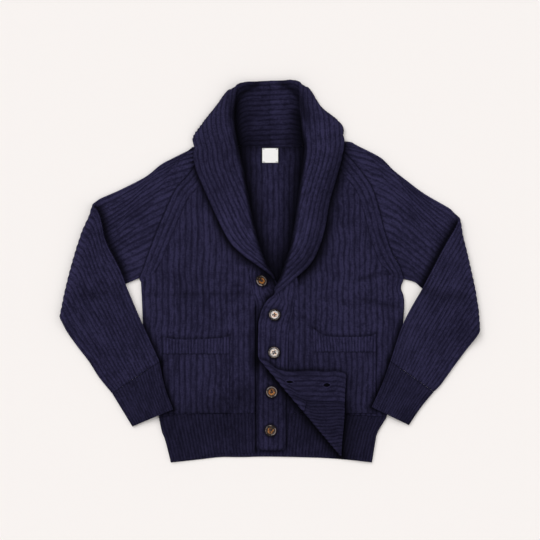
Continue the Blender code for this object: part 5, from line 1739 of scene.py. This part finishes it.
@dataclass
class NeckLabel:
    """A plain square of white tape below the back neck seam."""

    wardrobe: Wardrobe
    half: float = 16.2
    top: float = 253.0
    foot: float = 223.2
    thick: float = 0.8
    inset: float = 1.5              # where its even mesh and its stitches start

    def build(self) -> None:
        """Builds the tape, a little slack in its middle, and the stitches at its corners."""
        edge = np.array([0, 0.2, 0.6])
        half, foot, top, inset = self.half, self.foot, self.top, self.inset
        x = np.concatenate([edge - half, np.linspace(inset - half, half - inset, 24), half - edge[::-1]])
        y = np.concatenate([foot + edge, np.linspace(foot + inset, top - inset, 22), top - edge[::-1]])
        xx, yy = np.meshgrid(x, y, indexing="ij")
        distance = np.minimum(half - np.abs(xx), np.minimum(yy - foot, top - yy))
        slack = 0.5 * ease(distance / 8) * (1 + 0.4 * ripple(xx, yy, 9, 30))
        rim = 0.3 + 0.7 * np.sqrt(1 - (1 - np.clip(distance / edge[-1], 0, 1)) ** 2)
        middle = LEVEL + self.thick / 2 + slack
        uv = np.stack([xx, yy], axis=-1) / STITCH
        tape = Shell()
        faces = [np.stack([xx, yy, middle + k * self.thick / 2 * rim], axis=-1) for k in (1, -1)]
        tape.close(*(tape.grid(f, uv) for f in faces))
        self.wardrobe.join(tape.make("plain_neck_label", self.wardrobe.tape), "neck_tape", "label")
        stitches = Shell()
        t = np.linspace(-1, 1, 7)
        height = LEVEL + self.thick + 0.25 * (1 - t**4)
        for side in (-1, 1):
            for cy, way in ((foot + 1.6, -1), (top - 1.6, 1)):
                for k in range(3):
                    cx = side * (half - inset - 1.3 * k)
                    add_cord(stitches, np.stack([cx + 0.5 * t, cy + 1.3 * t * way, height], axis=-1), 0.28)
        self.wardrobe.join(stitches.make("label_stitches", self.wardrobe.thread), "rib_knit")


@dataclass
class Studio:
    """A pale floor, a large soft light from above and the left, and the camera straight above."""

    floor: Colour = (0.905, 0.87, 0.853)
    size: float = 6.0               # half the floor's width, in metres
    sink: float = 4e-4              # how far the floor lies below the cloth
    sky: Colour = (1.0, 0.985, 0.97)
    sky_power: float = 0.42
    lens: float = 180.0
    sensor: float = 36.0
    height: float = 5.545
    aim: Point = (-0.0013, 0.0038)
    LAMPS = (("key", (-1.2, 1.5, 2.6), 45, 1.45), ("fill", (1.6, -0.8, 2.6), 70, 0.55),
             ("glint", (0.0, 0.7, 2.8), 8, 0.36))      # name, where from, spread in degrees, power

    def build(self) -> None:
        """Builds the floor, the lights and the camera."""
        scene, mesh = bpy.context.scene, bpy.data.meshes.new("studio_floor")
        square = ((-1, -1), (1, -1), (1, 1), (-1, 1))
        corners = [(x * self.size, y * self.size, -self.sink) for x, y in square]
        mesh.from_pydata(corners, [], [(0, 1, 2, 3)])
        mesh.materials.append(PlainFinish("floor_paper", self.floor, 0.95, 0.01).material())
        linked("studio_floor", mesh)
        for lamp in self.LAMPS:
            self.light(*lamp)
        world = bpy.data.worlds.new("studio_world")
        world.use_nodes = True
        background = world.node_tree.nodes["Background"]
        background.inputs["Color"].default_value = (*self.sky, 1)
        background.inputs["Strength"].default_value = self.sky_power
        scene.world = world
        scene.view_settings.view_transform = "Standard"
        camera = linked("camera", bpy.data.cameras.new("camera"))
        camera.data.lens, camera.data.sensor_width, camera.data.clip_end = self.lens, self.sensor, 20.0
        camera.location = (*self.aim, self.height)
        scene.camera = camera

    def light(self, name: str, place: tuple[float, float, float], spread: float, power: float) -> None:
        """An even, soft light from a far, wide source; spread is how wide it looks, in degrees."""
        lamp = bpy.data.lights.new(name, "SUN")
        lamp.angle, lamp.energy = math.radians(spread), power
        obj = linked(name, lamp)
        obj.location = place
        away = unit(np.array(place))
        obj.rotation_euler = (math.acos(away[2]), 0, math.atan2(away[1], away[0]) + math.pi / 2)


# ---------------------------------------------------------------------------------------- painted shade

def placed(lay: Flat | Fold, line: Sequence, h: float) -> Array:
    """A line of the cut where it lies, as 24 points h above the cut's underside."""
    return lay.place(at(np.asarray(line, float), np.linspace(0, 1, 24)), np.full(24, h))


ALL = 60.0                      # above everything, so that all heights darken
ON_BACK, ON_FRONT, ON_POCKET = 8.3, 12.0, 12.5   # just above the right front, the left front and the pockets
(FOLD_X, FOLD_Y), FOLD_END = CORNER_FOLD

# Painted shade: the line, the height below which it darkens, its width, how much it darkens, the points it
# is cut into, and the side that darkens, where only one does
PAINTED_SHADES = (
    # painted shade beside the left collar's free edge
    (smooth([(147, 231), (134, 184), (122, 141), (114, 95), (103, 55), (84, 17)]), ALL, 20.0, 0.3, 20),
    # painted shadow of the buttonhole band on the button band
    ([(-4, -57), (-17, -78), (-24, -104), (-26, -135), (-26, -190)], 8.2, 5.0, 0.97),
    ([(-29, -80), (-29, -190)], 8.2, 11.0, 0.6),
    ([(-30, -165), (-30, -200)], 8.2, 9.0, 0.6, 4),
    # painted shade along the back's neck seam
    ([(-66, 253.5), (72, 253.5)], 9.0, 3.0, 0.5, 4),
    ([(-60, 262), (60, 262)], ALL, 26.0, 0.3, 4),
    # painted shadow beside the fold of the turned corner
    ([(FOLD_X + 18, FOLD_Y - 22), FOLD_END], ON_BACK, 12.0, 0.96, 12),
    ([(FOLD_X - 4, FOLD_Y + 3), FOLD_END], ON_BACK, 6.0, 0.7, 12),
    ([(166, -225), (160, -380)], ON_FRONT, 18.0, 0.3, 6),
    # painted shade on the sleeves before their folds
    ([(-392, -50), (-352, -46), (-312, -36)], ALL, 14.0, 0.28, 8),
    ([(318, -38), (350, -50), (392, -52)], ALL, 13.0, 0.4, 8),
    # painted shade along the button band's seam and its free edge
    ([(SEAM_X, -70), (SEAM_X, -372)], 7.6, 2.6, 0.45, 3),
    ([(-24, -195), (SEAM_X + 1, -250), (SEAM_X, -300), (SEAM_X, -368)], ON_BACK, 3.6, 0.5, 12),
    ([(32.5, -130), (32.5, -362), (25, -368), (-24, -368), (-29, -362)], 6.9, 4.0, 0.65, 20),
    # the fronts, painted darker towards the hem
    *(([(-250, -292 - drop), (-150, -262 - drop), (-34, -212 - drop)], ON_POCKET, 120.0, 0.095, 8, -1)
      for drop in range(0, 35, 7)),
    *(([(120, -262 - drop), (260, -276 - drop)], ON_POCKET, 120.0, 0.09, 4, -1) for drop in range(0, 35, 7)),
    # painted shade in the troughs of the wrinkles
    *(([start, end], 12.4, width, depth, 12) for start, end, width, _, depth in WRINKLES if depth),
)


def collar_shades() -> list[Shade]:
    """Painted shade under the collar's free edges, and inside its roll."""
    out = []
    for table, side, width in ((COLLAR_RIGHT, 1, 9.0), (COLLAR_LEFT, -1, 12.0)):
        edge, inner = guide(table, "edge", "xy"), smooth(guide(table, "roll", "xy")[3:15])
        inner, arch = inner[inner[:, 1] < ARCH[side][0][1] + 8], smooth(ARCH[side])
        out += [shade(smooth(edge[7:17]), ON_BACK, width, 0.93, 30),
                shade(smooth(edge[11:16]), ON_BACK, 15.0, 0.6),
                shade(arch, ALL, 18.0, 0.66, 16, side),
                shade(arch[len(arch) // 4:], ALL, 8.0, 0.45, 10),
                shade(inner, ALL, 28.0, 0.85, 30, side),
                shade(inner - (3.5 * side, 0), ALL, 12.0, 0.7, 30, side)]
    return out


def on_sleeve(fold: Fold, line: Sequence, *look: float, lift: float = 0.4, part: slice = slice(None)
              ) -> Shade:
    """A shade along a line of a folded sleeve.

    Args:
        fold: the sleeve's fold.
        line: the line on its cut.
        look: width, depth, points and side of the shade.
        lift: how far above the line the cloth still darkens.
        part: which of the placed line's points are used.
    """
    line = placed(fold, line, SLEEVE_STACK)[part]
    return shade(line[:, :2], line[:, 2] + lift, *look)


def sleeve_shades(sleeve: Sleeve, raglan: Array) -> list[Shade]:
    """Painted shade along a folded sleeve, its cuff and its seam at the body."""
    fold, cut = sleeve.fold, SLEEVES[sleeve.side.value]
    top, under = (line[fold.past(line) > sleeve.bend - 4] for line in (sleeve.top, sleeve.under))
    way = -sleeve.side.sign
    seam, foot = ((cut["cuff_top"][k], cut["cuff_under"][k]) for k in (0, -1))
    return [on_sleeve(fold, top, 9.5, 0.93, 24, way, lift=3.0),
            on_sleeve(fold, top, 14.0, 0.85, 10, way, lift=3.0, part=slice(1, 11)),
            on_sleeve(fold, under, 8.5, 0.93, 24),
            on_sleeve(fold, smooth(cut["cuff_top"]), 8.0, 0.93, 12),
            on_sleeve(fold, smooth(cut["cuff_under"]), 8.0, 0.93, 12),
            on_sleeve(fold, foot, 5.0, 0.7, 4),
            shade(placed(fold, seam, 0)[:, :2], ALL, 2.4, 0.2, 4),
            shade(raglan, ON_FRONT, 2.6, 0.3, 24)]


def pocket_shades(cut: dict) -> list[Shade]:
    """Painted shade round a pocket, along its welt and in its mouth."""
    (x0, x1), welt, foot, rim = cut["x"], cut["welt"], cut["foot"], smooth(cut["rim"])
    sides = (((x0 - 0.5, rim[0, 1]), (x0 - 0.5, foot)), ((x1 + 0.5, rim[-1, 1]), (x1 + 0.5, foot)),
             ((x0, foot - 0.5), (x1, foot - 0.5)))
    return [shade(rim + (0, 1.0), ON_BACK, 3.8, 0.6), shade([(x0, welt), (x1, welt)], 11.8, 1.8, 0.35, 3),
            *(shade(line, ON_BACK, 2.6, 0.2, 3) for line in sides)]


def garment_shades(body: Body, sleeves: Sequence[Sleeve]) -> list[Shade]:
    """The painted shade of the whole garment: under loose edges, in corners, along the seams and round the
    buttons.
    """
    out = [shade(*row) for row in PAINTED_SHADES] + collar_shades()
    foot = smooth(HEM_LEFT)
    # painted shadow under the turned corner's free edge and hem
    free = placed(body.corner, [(-25, -190), (-25, -362), (-19, -371), (36, -373.5)], CLOTH)
    hem = placed(body.corner, foot[foot[:, 0] < 150], CLOTH)
    out.append(shade(np.concatenate([free, hem])[:, :2], 12.6, 6.0, 0.75, 30))
    out.append(shade(hem[:, :2], ON_FRONT, 11.0, 0.85, 12))
    for sleeve in sleeves:
        out += sleeve_shades(sleeve, body.raglan[sleeve.side])
    for cut in POCKETS.values():
        out += pocket_shades(cut)
    # painted shade round each button
    turn = np.linspace(0, 2 * math.pi, 17)
    ring = 12.3 * np.column_stack([np.cos(turn), np.sin(turn)])
    return out + [shade(ring + (x, y), z + 0.6, 3.0, 0.7, 17) for x, y, z, *_ in BUTTONS]


def main() -> None:
    """Builds the garment piece by piece, and the studio round it."""
    logging.basicConfig(level=logging.INFO, format="%(message)s")
    wardrobe = Wardrobe()
    body = Body(wardrobe)
    sleeves = [Sleeve(wardrobe, side) for side in Side]
    wardrobe.shades.extend(garment_shades(body, sleeves))
    corner = body.build()
    Collar(wardrobe, Side.RIGHT, Flat(level(1)), UNDER_BAND).build()
    Collar(wardrobe, Side.LEFT, corner, OVER_BAND).build()
    for sleeve in sleeves:
        sleeve.build()
        Pocket(wardrobe, sleeve.side).build()
    for number in range(1, len(BUTTONS) + 1):
        Button(wardrobe, number).build()
    Buttonholes(wardrobe, corner).build()
    NeckLabel(wardrobe).build()
    Studio().build()


if __name__ == "__main__":
    main()
